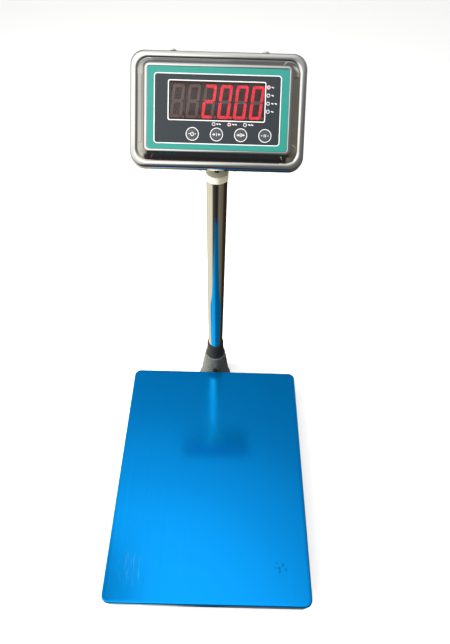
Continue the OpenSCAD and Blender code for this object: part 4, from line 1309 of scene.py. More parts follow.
@dataclass
class Base:
    """The welded base frame with its load cell, stops, caps and bubble level."""

    wall: float = 2 * MM
    tube: float = 25 * MM

    def rails(self) -> None:
        """Side rails, cross rails and the centre beam, with weld beads at their seams."""
        skin, beads = Skin("base_tubes"), Skin("base_welds")
        inner, edges, (_, top) = ladder(skin, "base_side_rails", "base_cross_rails", self.tube, self.wall)
        for y in edges:
            for x in (-inner, inner):
                weld(beads, (x, y + 3 * MM, top - 0.5 * MM), (x, y + self.tube - 3 * MM, top - 0.5 * MM))
        low, high = box("base_centre_beam")
        rounded_tube(skin, low, high, 1, self.wall)
        top = high[2] - 0.5 * MM
        for y in (low[1], high[1]):
            weld(beads, (low[0] + 4 * MM, y, top), (high[0] - 4 * MM, y, top))
        skin.piece("base", "frame_paint", PAINT, ["base_side_rails", "base_cross_rails", "base_centre_beam"])
        beads.piece("base", "frame_paint", PAINT)

    def caps(self) -> None:
        """Ribbed plastic plugs in the side rails' ends."""
        skin = Skin("rail_plugs")
        low, high = box("rail_end_caps")
        half = self.tube / 2
        z = (low[2] + high[2]) / 2
        for x in (low[0] + half, high[0] - half):
            for y, way in ((low[1], -1), (high[1], 1)):
                seat = Seat(np.array([x, y - way * 2 * MM, z]), np.array([1.0, 0, 0]) * -way,
                            np.array([0, 0, 1.0]), np.array([0, 1.0, 0]) * way)
                skin.slab(half, half, 3 * MM, 0, 2 * MM, 0.8 * MM, seat, Outline(6, 4))
                plug = half - 2.2 * MM
                skin.slab(plug, plug, 1.5 * MM, -7 * MM, 0, 0.4 * MM, seat, Outline(4, 3))
        skin.piece("base", "black_plastic", BLACK, ["rail_end_caps"])

    def stops(self) -> None:
        """Four overload screws with their lock nuts."""
        rods, nuts = Skin("stop_screws"), Skin("stop_nuts")
        low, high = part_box("overload_stops")
        nut_low, nut_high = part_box("overload_stop_nuts")
        radius = 4 * MM
        for x, y in inset_spots("overload_stops", radius):
            seat = upright(x, y, 0)
            threaded(radius, low.z, high.z, 1.25 * MM, seat, rods, 0.8 * MM)
            hex_head(12.8 * MM, nut_high.z - nut_low.z, seat.moved(out=nut_low.z), nuts,
                     bore=radius + 0.02 * MM)
        rods.piece("base", "zinc_steel", ZINC, ["overload_stops"])
        nuts.piece("base", "zinc_steel", ZINC, ["overload_stop_nuts"])

    def lock_nuts(self) -> None:
        """The nuts under the rails that lock the levelling feet."""
        skin = Skin("foot_lock_nuts")
        low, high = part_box("levelling_lock_nuts")
        reach = 16 * MM / math.cos(TAU / 12) / 2
        for x, y in inset_spots("levelling_lock_nuts", reach, 8 * MM):
            hex_head(16 * MM, high.z - low.z, upright(x, y, high.z).flipped(), skin, bore=5.04 * MM)
        skin.piece("base", "zinc_steel", ZINC, ["levelling_lock_nuts"])

    def level(self) -> None:
        """A round bubble level: a turned cup, its domed liquid, and a ring and bubble in it."""
        low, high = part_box("bubble_level_body")
        seat = Seat(np.array([*((low + high) / 2)[:2], low.z]))
        cup = rounded_path([(7.5, 2, 0), (7.5, 8, 0.3), (9, 8, 0.6), (9, 0, 0.5), (2, 0, 0), (2, 2, 0)],
                           steps=3) * MM
        Skin("level_cup").turned(cup, seat, 48).piece("base", "black_plastic", BLACK, ["bubble_level_body"])
        dome = rounded_path([(7.45, 2.1, 0), (7.45, 6.6, 0.8), (4, 7.3, 3), (0.4, 7.45, 0)], steps=5) * MM
        Skin("level_liquid").turned(dome, seat, 48).piece("base", "vial", VIAL, ["bubble_level_vial"])
        ring = Skin("level_ring")
        washer(3.2 * MM, 2.8 * MM, 7.4 * MM, 7.6 * MM, 0.05 * MM, seat, ring)
        ring.piece("base", "black_plastic", BLACK)
        bubble = rounded_path([(1.9, 7.2, 0), (2.2, 7.5, 0.2), (1.2, 7.8, 0.8), (0.2, 7.85, 0)], steps=4) * MM
        pale = Finish("level_bubble", srgb(226, 236, 150), rough=0.1, coat=1.0)
        Skin("level_bubble").turned(bubble, seat.moved(right=0.4 * MM), 32).piece("base", "vial", pale)

    def cell(self) -> None:
        """The load cell keeps its machined shape and gains potted gauge covers on both flanks."""
        dress(ALUMINIUM, "load_cell")
        dress(ZINC, "load_cell_lower_spacer")
        low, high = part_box("load_cell")
        skin = Skin("gauge_covers")
        mid = middle("load_cell")
        for s in (1, -1):
            seat = sideways(s, high.x - 0.2 * MM, mid[1], mid[2])
            skin.slab(25 * MM, 7.6 * MM, 2 * MM, 0, 1.1 * MM, 0.5 * MM, seat, Outline(5, 4))
        skin.piece("base", "cell_aluminium", POTTING)
        bolts = Skin("cell_base_bolts")
        low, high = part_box("load_cell_lower_bolts")
        for y in (low.y + 7.4 * MM, high.y - 7.4 * MM):
            seat = upright(0, y, low.z + 6 * MM).flipped()
            hex_head(12.8 * MM, 6 * MM, seat, bolts)
            bolts.turned(np.array([[2, 0.3], [4, -0.01], [4, -38], [2, -38.6]]) * MM, seat, 32)
        bolts.piece("base", "zinc_steel", ZINC, ["load_cell_lower_bolts"])

    def build(self) -> None:
        """Makes everything that stays with the base."""
        self.rails()
        self.caps()
        self.stops()
        self.lock_nuts()
        self.level()
        self.cell()


@dataclass
class LevellingFoot:
    """A ribbed rubber pad on a threaded stud."""

    name: str

    def build(self) -> None:
        """Makes the pad and stud and puts both on this foot's body."""
        low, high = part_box(f"foot_pad_{self.name}")
        seat = Seat(np.array([*((low + high) / 2)[:2], 0]))
        line = rounded_path([
            (14, 0.8, 0), (14.6, 0, 0.3), (19.2, 0, 0.8), (20, 1.2, 0.5), (20, 5.2, 1.2), (17.2, 6.6, 0.8),
            (16.6, 7.2, 0.4), (14.6, 7.6, 0.5), (13.8, 8.4, 0.4), (12.4, 8.8, 0.6), (11.6, 10, 0.6),
            (5.1, 10, 0.3), (5.1, 3.9, 0), (3, 3.9, 0)], steps=4) * MM
        line[:, 1] = np.maximum(line[:, 1], 0)
        ribs = lambda a, z: 1 - 0.012 * (np.cos(24 * a) > 0.2) * ((z > 1.5 * MM) & (z < 5 * MM))
        Skin(f"foot_rubber_{self.name}").turned(line, seat, 96, swell=ribs).piece(
            f"foot_{self.name}", "rubber", RUBBER, [f"foot_pad_{self.name}"])
        low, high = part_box(f"foot_stud_{self.name}")
        rod = Skin(f"foot_thread_{self.name}")
        threaded(5 * MM, low.z, high.z, 1.5 * MM, seat, rod, 1.0 * MM)
        rod.piece(f"foot_{self.name}", "zinc_steel", ZINC, [f"foot_stud_{self.name}"])


# --- column ---


def signal_route(local: Sequence[tuple[float, float]], y: float, z: float) -> Array:
    """A route of (y, z) points in millimetres, moved to its place, smoothed and made dense.

    The smooth line is a Catmull-Rom curve: between two points it is their cubic blend, with each
    end's direction half the step between its neighbours.
    """
    knots = np.array(local, float) * MM + np.array([y, z])
    ends = np.concatenate([2 * knots[:1] - knots[1:2], knots, 2 * knots[-1:] - knots[-2:-1]])
    share = np.linspace(0, 1, 7)[:-1]
    a, b, c, d = (ends[i:len(ends) - 3 + i, None] for i in range(4))
    s = share[None, :, None]
    curve = 0.5 * (2 * b + (c - a) * s + (2 * a - 5 * b + 4 * c - d) * s ** 2
                   + (3 * b - a - 3 * c + d) * s ** 3)
    line = np.concatenate([curve.reshape(-1, 2), knots[-1:]])
    return np.column_stack([np.zeros(len(line)), line])


@dataclass
class Column:
    """The cast foot, the polished tube and what fixes them to the base."""

    radius: float = 17.0
    foot_base: float = 39.5
    route: tuple = (
        (75.2, 64), (84, 63.5), (92, 61), (100, 57), (108, 53.5), (118, 52.2), (132, 52), (150, 52),
        (175, 52), (200, 52), (225, 52), (252, 52), (266, 52), (274, 52.5), (281, 55), (286, 59.5),
        (289, 66), (290, 74), (290, 90), (290, 140), (290, 220), (290, 300), (290, 380), (290, 460),
        (290, 540), (290, 600), (290, 640), (290, 662.7))

    @property
    def seat(self) -> Seat:
        """The column's axis at floor height."""
        return Seat(np.array([0, COLUMN_MIDDLE[1], 0]))

    def casting(self) -> None:
        """The foot's hammertone cone with its flange, open below and bored."""
        b = self.foot_base
        line = rounded_path([
            (13, 24, 0), (b, 24, 0.6), (b, 29.4, 1.6), (b - 3.1, 40, 5), (30.7, 90, 14),
            (28.2, 109, 8), (24.5, 135.4, 1.2), (22.8, 136.6, 0), (13, 136.6, 0)], closed=True, steps=5)
        Skin("foot_casting").turned(resampled_ring(line, 3) * MM, self.seat, 128, loop=True).piece(
            "base", "foot_casting", ENAMEL, ["column_foot"])
        line = rounded_path([
            (21, 136.6, 0), (22.8, 136.9, 0.5), (22.3, 139.5, 2), (20.8, 150, 8), (19.85, 165, 10),
            (19.55, 181.4, 1.2), (18.9, 183, 0.7), (17.1, 183, 0.4), (17.06, 178, 0), (17.06, 136.6, 0)],
            closed=True, steps=5)
        Skin("foot_collar").turned(resampled_ring(line, 3) * MM, self.seat, 128, loop=True).piece(
            "base", "foot_casting", COLLAR)

    def tube(self) -> None:
        """The polished tube, open at both ends with its edges broken."""
        low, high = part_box("column_tube")
        r, t, e = self.radius * MM, 1.5 * MM, 0.3 * MM
        line = np.array([[r - e, low.z], [r, low.z + e], [r, high.z - e], [r - e, high.z],
                         [r - t + e, high.z], [r - t, high.z - e], [r - t, low.z + e], [r - t + e, low.z]])
        Skin("polished_column").turned(resampled_ring(line, 30 * MM), self.seat, 160, loop=True).piece(
            "base", "column_steel", STEEL_TUBE, ["column_tube"])

    def bracket(self) -> None:
        """The plate under the foot: straight sides in front and a half circle behind.

        Its outline is the rounded rectangle's, with the back corners' radius the plate's half width.
        """
        low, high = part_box("column_bracket")
        half = high.x
        corners = [(-half, low.y, 3 * MM), (half, low.y, 3 * MM), (half, high.y, half * 0.998),
                   (-half, high.y, half * 0.998)]
        line = resampled(np.concatenate([rounded_path(corners, closed=True, steps=20)] * 2), 8 * MM)
        line = line[:len(line) // 2]
        centre = line.mean(0)
        rows = []
        for inset, z in ((0.8, 0), (0.2, 0.2), (0, 0.8), (0, 5.2), (0.2, 5.8), (0.8, 6)):
            shrink = 1 - inset * MM / half
            level = np.full(len(line), low.z + z * MM)
            rows.append(np.column_stack([(line - centre) * shrink + centre, level]))
        Skin("foot_bracket").grid(np.stack(rows)).piece("base", "frame_paint", PAINT, ["column_bracket"])

    def fixings(self) -> None:
        """The four bolts from below, and the clamp screw in the foot's front."""
        skin = Skin("foot_bolts")
        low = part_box("column_foot_bolts")[0]
        for i in range(4):
            angle = TAU / 8 + i * TAU / 4
            spot = self.seat.origin + np.array([math.cos(angle), math.sin(angle), 0]) * 29.5 * MM
            seat = Seat(spot + np.array([0, 0, low.z + 5 * MM])).flipped()
            hex_head(12.8 * MM, 5 * MM, seat, skin)
            skin.turned(np.array([[2, 0.2], [4, -0.01], [4, -19.4], [2, -20]]) * MM, seat, 24)
        skin.piece("base", "zinc_steel", ZINC, ["column_foot_bolts"])
        low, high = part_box("column_clamp_screw")
        seat = seat_facing([0, high.y, (low.z + high.z) / 2], [0, -1, 0])
        screw = Skin("clamp_screw")
        reach = (high.y - low.y) - 6 * MM
        end = reach / MM
        screw.turned(np.array([[1, 0.05], [3.9, 0.4], [4, 1], [4, end + 0.2], [2, end + 0.4]]) * MM, seat, 32)
        disc(6 * MM, reach, reach + 2 * MM, 0.5 * MM, seat, screw)
        hex_head(10 * MM, 4 * MM, seat.moved(out=reach + 2 * MM), screw)
        screw.piece("base", "black_steel", BLACK_STEEL, ["column_clamp_screw"])

    def cable(self) -> None:
        """The load cell's cable, held all the way up the column, and its grommet."""
        line = signal_route(self.route, PAN_MIDDLE[1], 0)
        Skin("cell_cable").swept(line, 2.45 * MM, 14).piece("base", "cable_jacket", JACKET, ["signal_cable"])
        low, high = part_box("cable_grommet")
        seat = seat_facing([0, high.y, (low.z + high.z) / 2], [0, -1, 0])
        line = rounded_path([(2.85, 0, 0.3), (4.5, 0, 0.5), (4.5, 8, 0.2), (6.5, 8, 0.7), (6.5, 10, 0.9),
                             (2.85, 10, 0.5)], closed=True, steps=4) * MM
        Skin("rubber_grommet").turned(line, seat, 48, loop=True).piece(
            "base", "rubber", RUBBER, ["cable_grommet"])

    def build(self) -> None:
        """Makes the foot, tube, bracket, fixings and cable."""
        self.casting()
        self.tube()
        self.bracket()
        self.fixings()
        self.cable()


# --- swivel head ---


@dataclass
class SwivelHead:
    """The moulded cap that turns on the column, and the tilt hinge on it."""

    loop: tuple = (
        (0, 0), (0, 6), (0.6, 12), (2.6, 18), (6.6, 23.5), (12.5, 27.5), (19.5, 29.7), (27, 30.3),
        (34.5, 30), (42, 30), (49.4, 31), (56.2, 34.2), (60.6, 39.4), (61.5, 45.2), (59.44, 50.02),
        (56.03, 53.68), (51.94, 58.07), (46.49, 63.92))

    def cap(self) -> None:
        """The skirt, roof, top plate and two ears, as one moulding of overlapping closed parts."""
        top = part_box("column_tube")[1].z
        y = COLUMN_MIDDLE[1]
        skin = Skin("swivel_cap")
        skirt = rounded_path([(17.07, -8, 0.4), (18.3, -8, 0.6), (18.25, 3.9, 0.8), (4.6, 4.0, 0),
                              (4.6, 0.1, 0), (17.07, 0.1, 0.4)], closed=True, steps=4) * MM
        skin.turned(skirt, upright(0, y, top), 96, loop=True)
        plate = upright(0, y + 10 * MM, top + 4 * MM)
        skin.slab(30 * MM, 9 * MM, 2.5 * MM, 0, 5 * MM, 1.0 * MM, plate, Outline(6, 6))
        hinge = middle("tilt_bolts")
        drop = (hinge[2] - top - 4 * MM) / MM
        for s in (1, -1):
            seat = sideways(s, 24 * MM, hinge[1], hinge[2])
            angle = np.linspace(0, TAU / 2, 25)
            ear = np.concatenate([np.stack([9 * np.cos(angle), 9 * np.sin(angle)], 1),
                                  np.array([[-9, -drop / 2], [-10.4, -drop], [10.4, -drop], [9, -drop / 2]])])
            skin.layers(ear, ((0.7, 0), (0.2, 0.2), (0, 0.7), (0, 5.3), (0.2, 5.8), (0.7, 6)), 9, seat)
        skin.piece("head", "head_plastic", CREAM, ["swivel_head"])

    def bolts(self) -> None:
        """The hinge bolts, with their heads inside and their shanks out to the knobs."""
        skin = Skin("hinge_bolts")
        hinge = middle("tilt_bolts")
        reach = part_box("tilt_bolts")[1].x / MM - 20.4
        for s in (1, -1):
            seat = sideways(s, 20.4 * MM, hinge[1], hinge[2])
            hex_head(9.6 * MM, 4 * MM, seat.flipped(), skin)
            skin.turned(np.array([[1, -0.1], [3, 0], [3, reach - 0.6], [2.4, reach]]) * MM, seat, 32)
        skin.piece("head", "zinc_steel", ZINC, ["tilt_bolts"])

    def knob(self, side: str, sign: int) -> None:
        """A six-lobed knob: its radius swings between lobe and waist with the cosine of six turns."""
        hinge = middle("tilt_bolts")
        seat = sideways(sign, 30.3 * MM, hinge[1], hinge[2])
        line = rounded_path([(3.1, 0, 0), (6.5, 0, 0.5), (6.5, 3, 0.3), (12, 3, 1.2), (12, 12.6, 3.2),
                             (5.4, 14, 0.8), (5.0, 13.4, 0.3), (0.4, 13.2, 0)], steps=6)
        line = resampled(line, 1.2) * MM
        lobes = lambda a, z: 1 - 0.11 * (0.5 - 0.5 * np.cos(6 * a)) ** 1.4 * np.clip((z - 3 * MM) / MM, 0, 1)
        Skin(f"knob_grip_{side}").turned(line, seat, 144, swell=lobes).piece(
            f"knob_{side}", "black_plastic", BLACK, [f"tilt_knob_{side}"])
        cap = rounded_path([(4.6, 13.2, 0), (4.6, 13.75, 0.3), (3, 13.95, 0.5), (0.3, 14, 0)], steps=3) * MM
        Skin(f"knob_disc_{side}").turned(cap, seat, 48).piece(f"knob_{side}", "black_plastic", PRINT_GREY)

    def build(self) -> None:
        """Makes the cap, hinge bolts, knobs and the cable loop across the hinge."""
        self.cap()
        self.bolts()
        self.knob("right", 1)
        self.knob("left", -1)
        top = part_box("column_tube")[1].z
        line = signal_route(self.loop, COLUMN_MIDDLE[1], top)
        skin = Skin("indicator_lead")
        skin.swept(line, 2.45 * MM, 16)
        made = skin.object(JACKET)
        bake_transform(made)
        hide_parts("cable_loop")
        LOG.info("indicator_lead bends between head and indicator")


# --- indicator housing ---


@dataclass
class Housing:
    """The indicator's two pressed steel shells, their gasket, screws and mounting bracket."""

    keys_t: tuple = (0.0, 10.8, 22.9, 25.2, 34.0)
    keys_w: tuple = (124.0, 113.2, 101.1, 98.8, 90.0)
    keys_h: tuple = (79.0, 68.2, 57.6, 55.3, 47.0)
    keys_r: tuple = (20.0, 16.0, 4.6, 4.2, 2.0)
    rise: float = 7.0
    seat_level: float = 6.38
    panel_depth: float = 1.6

    def slope(self, share: Array) -> Array:
        """Height of the raised part at a share of the way up: rise * (1 - (1 - share) ** 1.6)."""
        return self.rise * (1 - (1 - np.clip(share, 0, 1)) ** 1.6)

    def sunk(self, share: Array, x: Array, y: Array) -> Array:
        """Depth of the panels pressed into the four slopes.

        Inside a panel the depth grows evenly with the share of the way up and ends in a ledge. The
        panels end on slanting lines, a fixed distance plus a share of the slope from the outer
        edges, through a smooth step a millimetre wide.
        """
        def step(value: Array) -> Array:
            v = np.clip(value, 0, 1)
            return v * v * (3 - 2 * v)
        long_side = step((124 - np.abs(x) - 28.7 - 6.8 * share) / 1.0)
        short_side = step((79 - np.abs(y) - 31 - 5 * share) / 1.0)
        ledge = step(share / 0.08) * (1 - step((share - 0.66) / 0.06))
        return self.panel_depth * (0.25 + 0.75 * share / 0.66) * ledge * np.maximum(long_side, short_side)

    def front(self) -> None:
        """The front shell, from its skirt over the rolled edge and slopes to the panel's seat.

        Each row of the grid is the flange's outline at an inset t, with half sizes and corner
        radius read off between the key insets, and a height.
        """
        angle = np.linspace(0, TAU / 4, 8)
        roll = np.stack([2.4 * (1 - np.cos(angle)), -2.4 * (1 - np.sin(angle))], 1)
        share = np.concatenate([np.linspace(0, 0.6, 16), np.linspace(0.62, 0.76, 10), np.linspace(0.8, 1, 6)])
        slope = np.stack([10.8 + 12.1 * share, self.slope(share)], 1)
        outer = np.concatenate([
            [[0.25, -14], [0, -13.8], [0, -9], [0, -5]], roll,
            [[3.2, 0.12], [4.6, 0.26], [6.0, 0.30], [7.4, 0.22], [8.8, 0.02], [9.5, -0.3], [10.1, -0.55],
             [10.6, -0.4]], slope,
            [[23.1, 7.0], [23.5, 7.05], [24.5, 7.05], [24.9, 6.98], [25.12, 6.8], [25.2, 6.5],
             [25.25, self.seat_level], [28, self.seat_level], [34, self.seat_level]]])
        inner = np.array([[34, 5.4], [25.8, 5.4], [23.4, 5.5], [17.8, 3.4], [13.8, 0.8], [11.2, -1.3],
                          [3.4, -1.2], [1.7, -1.8], [1.1, -3.2], [1.0, -13.8], [0.8, -14]])
        rows = np.concatenate([outer, inner])
        outline = Outline(arc=16, side=76, bunch=0.14)
        shapes = [np.interp(rows[:, 0], self.keys_t, k) for k in (self.keys_w, self.keys_h, self.keys_r)]
        flat = outline.points(*shapes)
        high = np.repeat(rows[:, 1:2], flat.shape[1], 1)
        first = len(outer) - len(slope) - 9
        part = slice(first, first + len(slope))
        high[part] -= self.sunk(share[:, None], flat[part, :, 0], flat[part, :, 1])
        Skin("front_housing").grid(np.concatenate([flat, high[..., None]], -1) * MM, FACE, loop=True).piece(
            "indicator", "stainless_shell", STEEL_SHELL, ["front_shell"], crease=24)

    def rear(self) -> None:
        """The rear shell: a deep tray whose floor meets its walls in two wide bevels."""
        line = rounded_path([(60, -40, 0), (20, -40, 7), (8, -34, 7), (0, -20, 8), (0, -2.1, 0.3),
                             (1, -2.1, 0.3), (1, -20, 7), (8.6, -33.2, 6), (20.2, -39, 6), (60, -39, 0)])
        line = resampled(line, 8)
        half_w, half_h = 122.7 - line[:, 0], 77.7 - line[:, 0]
        flat = Outline(arc=14, side=16).points(half_w, half_h, np.maximum(18.7 - line[:, 0] * 0.8, 2))
        Skin("rear_housing").grid(raised(flat, line[:, 1]) * MM, FACE).piece(
            "indicator", "stainless_shell", STEEL_BACK, ["rear_shell"])
        ring = Skin("housing_seal")
        inset = np.array([0, 0, 2.7, 2.7])
        flat = Outline(arc=10, side=4).points(122.5 - inset, 77.5 - inset, 18.5 - inset)
        ring.grid(raised(flat, np.array([-2.0, -1.05, -1.05, -2.0])) * MM, FACE, loop=True)
        ring.piece("indicator", "rubber", RUBBER, ["shell_gasket"])

    def screws(self) -> None:
        """Two case screws with broad washers on the top edge."""
        heads, rings = Skin("case_screw_heads"), Skin("case_screw_washers")
        for x in (-65, 65):
            seat = Seat(FACE.spot(x, 79, -7), FACE.right, -FACE.out, FACE.up)
            cross_head(5 * MM, 1.4 * MM, 3.6 * MM, seat, heads)
            heads.turned(np.array([[1, -8], [2.5, -7.5], [2.5, 1.4], [1, 1.6]]) * MM, seat, 24)
            washer(6.5 * MM, 2.6 * MM, 0.02 * MM, 1.4 * MM, 0.3 * MM, seat, rings)
        heads.piece("indicator", "zinc_steel", SCREW, ["case_screws"])
        rings.piece("indicator", "zinc_steel", SCREW)

    def bracket(self) -> None:
        """The hinge bracket: a rounded plate on the back with two rounded arms, and its screws."""
        skin = Skin("hinge_bracket")
        seat = FACE.moved(up=-HINGE_DROP, out=-HOUSING_DEPTH)
        skin.slab(29 * MM, 16.5 * MM, 4 * MM, -3 * MM, -0.02 * MM, 0.4 * MM, seat.at(0, 9.5), Outline(8, 6))
        for s in (-1, 1):
            right, up, out = FACE.up, FACE.out, FACE.right
            arm = Seat(seat.origin + out * (s * 22.2 * MM) - up * HINGE_GAP, right, up, out)
            angle = np.linspace(-TAU / 2, 0, 21)
            line = np.concatenate([np.stack([8 * np.cos(angle), 8 * np.sin(angle)], 1),
                                   np.array([[9, 9], [9.6, 17.5], [-9.6, 17.5], [-9, 9]])])
            skin.layers(line, ((0.3, -1.5), (0, -1.2), (0, 1.2), (0.3, 1.5)), 9, arm)
        skin.piece("indicator", "stainless_shell", STEEL_BACK, ["tilt_bracket"])
        heads = Skin("bracket_screw_heads")
        for x in (-14, 14):
            for y in (8, 21):
                screw = seat.moved(right=x * MM, up=y * MM, out=-3 * MM)
                cross_head(3.75 * MM, 0, 2.4 * MM, screw.flipped(), heads)
                heads.turned(np.array([[1, 8.4], [2, 8], [2, -0.6], [1, -0.8]]) * MM, screw, 24)
        heads.piece("indicator", "zinc_steel", ZINC, ["tilt_bracket_screws"])

    def gland(self) -> None:
        """The cable gland: hexagon body, ribbed clamping nut and a tapered rubber neck."""
        back = FACE.moved(up=5 * MM, out=-HOUSING_DEPTH).flipped()
        body = Skin("gland_body")
        hex_head(15 * MM, 5 * MM, back, body, bore=2.9 * MM)
        nut = rounded_path([(2.8, 5, 0), (7.5, 5, 0.4), (7.5, 10.4, 0.8), (6.4, 11.4, 0.6), (2.8, 11.4, 0)],
                           closed=True, steps=4) * MM
        body.turned(nut, back, 96, loop=True,
                    swell=lambda a, z: 1 + 0.014 * np.sign(np.cos(16 * a)) * (z > 0))
        inside = FACE.moved(up=5 * MM, out=SHELL_THICKNESS - HOUSING_DEPTH)
        hex_head(17 * MM, 4 * MM, inside, body, bore=6 * MM)
        washer(6 * MM, 2.9 * MM, -6 * MM, 0.1 * MM, 0.2 * MM, back, body)
        body.piece("indicator", "black_plastic", BLACK, ["cable_gland"])
        neck = rounded_path([(2.75, 10, 0), (6.0, 10, 0), (6.2, 12, 0.6), (4.5, 17, 0.8), (2.75, 17, 0.3)],
                            closed=True, steps=4) * MM
        Skin("gland_neck").turned(neck, back, 48, loop=True).piece("indicator", "rubber", RUBBER)

    def charger(self) -> None:
        """The charging socket: a threaded sleeve with a hexagon nut and a dark bore."""
        place = FACE.moved(right=-70 * MM, up=-45 * MM, out=-HOUSING_DEPTH)
        seat = place.flipped()
        skin = Skin("charger_sleeve")
        hex_head(11 * MM, 2 * MM, seat, skin, bore=4.0 * MM)
        sleeve = rounded_path([(1.85, 2, 0.2), (4, 2, 0.4), (4, -12.5, 0.3), (1.85, -12.5, 0)], closed=True,
                              steps=3) * MM
        skin.turned(sleeve, seat, 48, loop=True)
        hex_head(12 * MM, 3 * MM, place.moved(out=SHELL_THICKNESS), skin, bore=4.02 * MM)
        skin.piece("indicator", "black_plastic", BLACK, ["charger_socket"])

    def build(self) -> None:
        """Makes the shells and everything fixed to them."""
        self.front()
        self.rear()
        self.screws()
        self.bracket()
        self.gland()
        self.charger()


# --- display and keys ---


class Key(Enum):
    """The four keys, in order from the left."""

    POWER = 0
    TARE = 1
    ZERO = 2
    HOLD = 3


@dataclass
class FrontPanel:
    """The printed film with its window, digits, lamps and keys, in millimetres on the face."""

    window: tuple[float, float] = (-1.7, 10.7)
    window_size: tuple[float, float] = (134.0, 51.5)
    pitch: float = 22.2
    digits_x: float = -0.9
    digit_w: float = 17.0
    digit_h: float = 45.0
    stroke: float = 4.0
    lean: float = math.tan(math.radians(6.5))
    surface: float = 7.0
    lit: tuple[str, ...] = ("", "", "abged", "abcdef.", "abcdef", "abcdef")

    def segments(self) -> dict[str, Array]:
        """The seven strokes and the point of an upright digit, each a convex outline."""
        w, h, t = self.digit_w / 2, self.digit_h / 2, self.stroke
        top = np.array([[-w + 2.1, h], [w - 2.1, h], [w - 0.95, h - 0.75], [w - t + 0.1, h - t],
                        [-w + t - 0.1, h - t], [-w + 0.95, h - 0.75]])
        side = np.array([[w - 0.45, h - 1.2], [w, h - 2.6], [w, 1.7], [w - t / 2, 0.3], [w - t, 2.1],
                         [w - t, h - t - 0.1]])
        bar = np.array([[-w + t - 0.1, 2.15], [w - t + 0.1, 2.15], [w - t / 2 - 0.4, 0], [w - t + 0.1, -2.15],
                        [-w + t - 0.1, -2.15], [-w + t / 2 + 0.4, 0]])
        point = np.array([w + 2.0, -h + 1.9]) + 1.9 * circle(16)
        flip_x, flip_y = np.array([-1, 1]), np.array([1, -1])
        return {"a": top, "b": side, "c": side * flip_y, "d": top * flip_y, "e": -side, "f": side * flip_x,
                "g": bar, ".": point}

    def digits(self) -> None:
        """Digit modules under the window, with their lit and unlit strokes standing on them."""
        low, high = FACE.extent("led_digits")
        face = high[2] / MM
        modules, on, off = Skin("digit_modules"), Skin("strokes_lit"), Skin("strokes_unlit")
        for i, lit in enumerate(self.lit):
            x = self.digits_x + (i - 2.5) * self.pitch
            seat = FACE.at(x, self.window[1])
            modules.slab((self.pitch / 2 - 0.3) * MM, (self.window_size[1] / 2 - 2.5) * MM, 0.6 * MM, low[2],
                         high[2], 0.3 * MM, seat, Outline(3, 2), steps=2)
            for name, outline in self.segments().items():
                leaned = outline + outline[:, 1:2] * np.array([self.lean, 0]) + [-0.4, -0.3]
                (on if name in lit else off).layers(leaned, ((0, face - 0.3), (0, face + 0.12)), 1, seat)
        modules.piece("indicator", "digit_block", MODULE, ["led_digits"])
        on.piece("indicator", "lamp", SEGMENT_ON)
        off.piece("indicator", "digit_block", SEGMENT_OFF)

    def window_film(self) -> None:
        """The smoked film in the window."""
        w, h = self.window_size
        seat = FACE.at(self.window[0], self.window[1])
        skin = Skin("window_film")
        skin.slab((w / 2 - 0.3) * MM, (h / 2 - 0.3) * MM, 1.2 * MM, 6.4 * MM, 6.98 * MM, 0.05 * MM, seat,
                  Outline(5, 6), steps=2)
        skin.piece("indicator", "display_filter", SMOKE, ["display_window"])

    def frame_line(self, half_w: float, half_h: float, radius: float) -> Array:
        """A rounded rectangle's line in metres."""
        return Outline(8, 10).points(half_w, half_h, radius)[0] * MM

    def lamps(self) -> list[tuple[float, float, bool]]:
        """Places of the status lamps and whether each is lit."""
        side = [(69.8, 30.6 - 10.7 * i, i == 0) for i in range(4)]
        return side + [(-5.3 + 21.9 * i, -20.0, i == 1) for i in range(3)]

    def prints(self) -> None:
        """White print: the two frame lines, lamp rings and small marks beside the lamps."""
        ink = Skin("white_print")
        low, high = (self.surface - 0.02) * MM, (self.surface + 0.03) * MM
        field_seat = FACE.at(-0.7, -0.6)
        ink.ribbon(self.frame_line(87.9, 46.4, 4.0), 1.25 * MM, low, high, field_seat, closed=True)
        window_seat = FACE.at(self.window[0], self.window[1])
        w, h = self.window_size
        border = self.frame_line(w / 2 + 0.55, h / 2 + 0.55, 2.2)
        ink.ribbon(border, 1.3 * MM, low, high, window_seat, closed=True)
        for x, y, _ in self.lamps():
            ink.ribbon(circle(32) * 2.15 * MM, 0.75 * MM, low, high, FACE.at(x, y),
                       closed=True)
        marks = {0: ((4.0, 7.6),), 1: ((4.6, 7.4),), 2: ((4.6, 7.4), (9.4, 12.2)), 3: ((4.6, 7.6),),
                 4: ((4.0, 6.4), (7.4, 9.8)), 5: ((4.2, 7.0), (8.0, 10.4)), 6: ((4.6, 7.8), (8.8, 11.4))}
        for i, (x, y, _) in enumerate(self.lamps()):
            seat = FACE.at(x, y)
            for start, end in marks[i]:
                along = np.linspace(start, end, 14)
                swing = 0.75 * np.sin((along - start) / (end - start) * TAU) * (1.0 if i == 0 else 0.45)
                ink.ribbon(np.stack([along, swing], 1) * MM, (0.85 if i == 0 else 1.35) * MM, low, high, seat)
        ink.piece("indicator", "front_panel", PRINT_WHITE)

    def lamp_lenses(self) -> None:
        """Domed lenses in the film's holes, on the lamps' own stems."""
        foot = FACE.extent("status_lamps")[0][2] / MM
        on, off = Skin("lamps_lit"), Skin("lamps_unlit")
        for x, y, lit in self.lamps():
            seat = FACE.at(x, y)
            line = rounded_path([(0.5, foot, 0), (1.49, foot, 0.2), (1.49, 6.4, 0), (1.4, 6.8, 0.3),
                                 (0.8, 7.0, 0.4), (0.1, 7.02, 0)], steps=4) * MM
            (on if lit else off).turned(line, seat, 32)
        on.piece("indicator", "lamp", LAMP_ON, ["status_lamps"])
        off.piece("indicator", "lamp", LAMP_OFF)

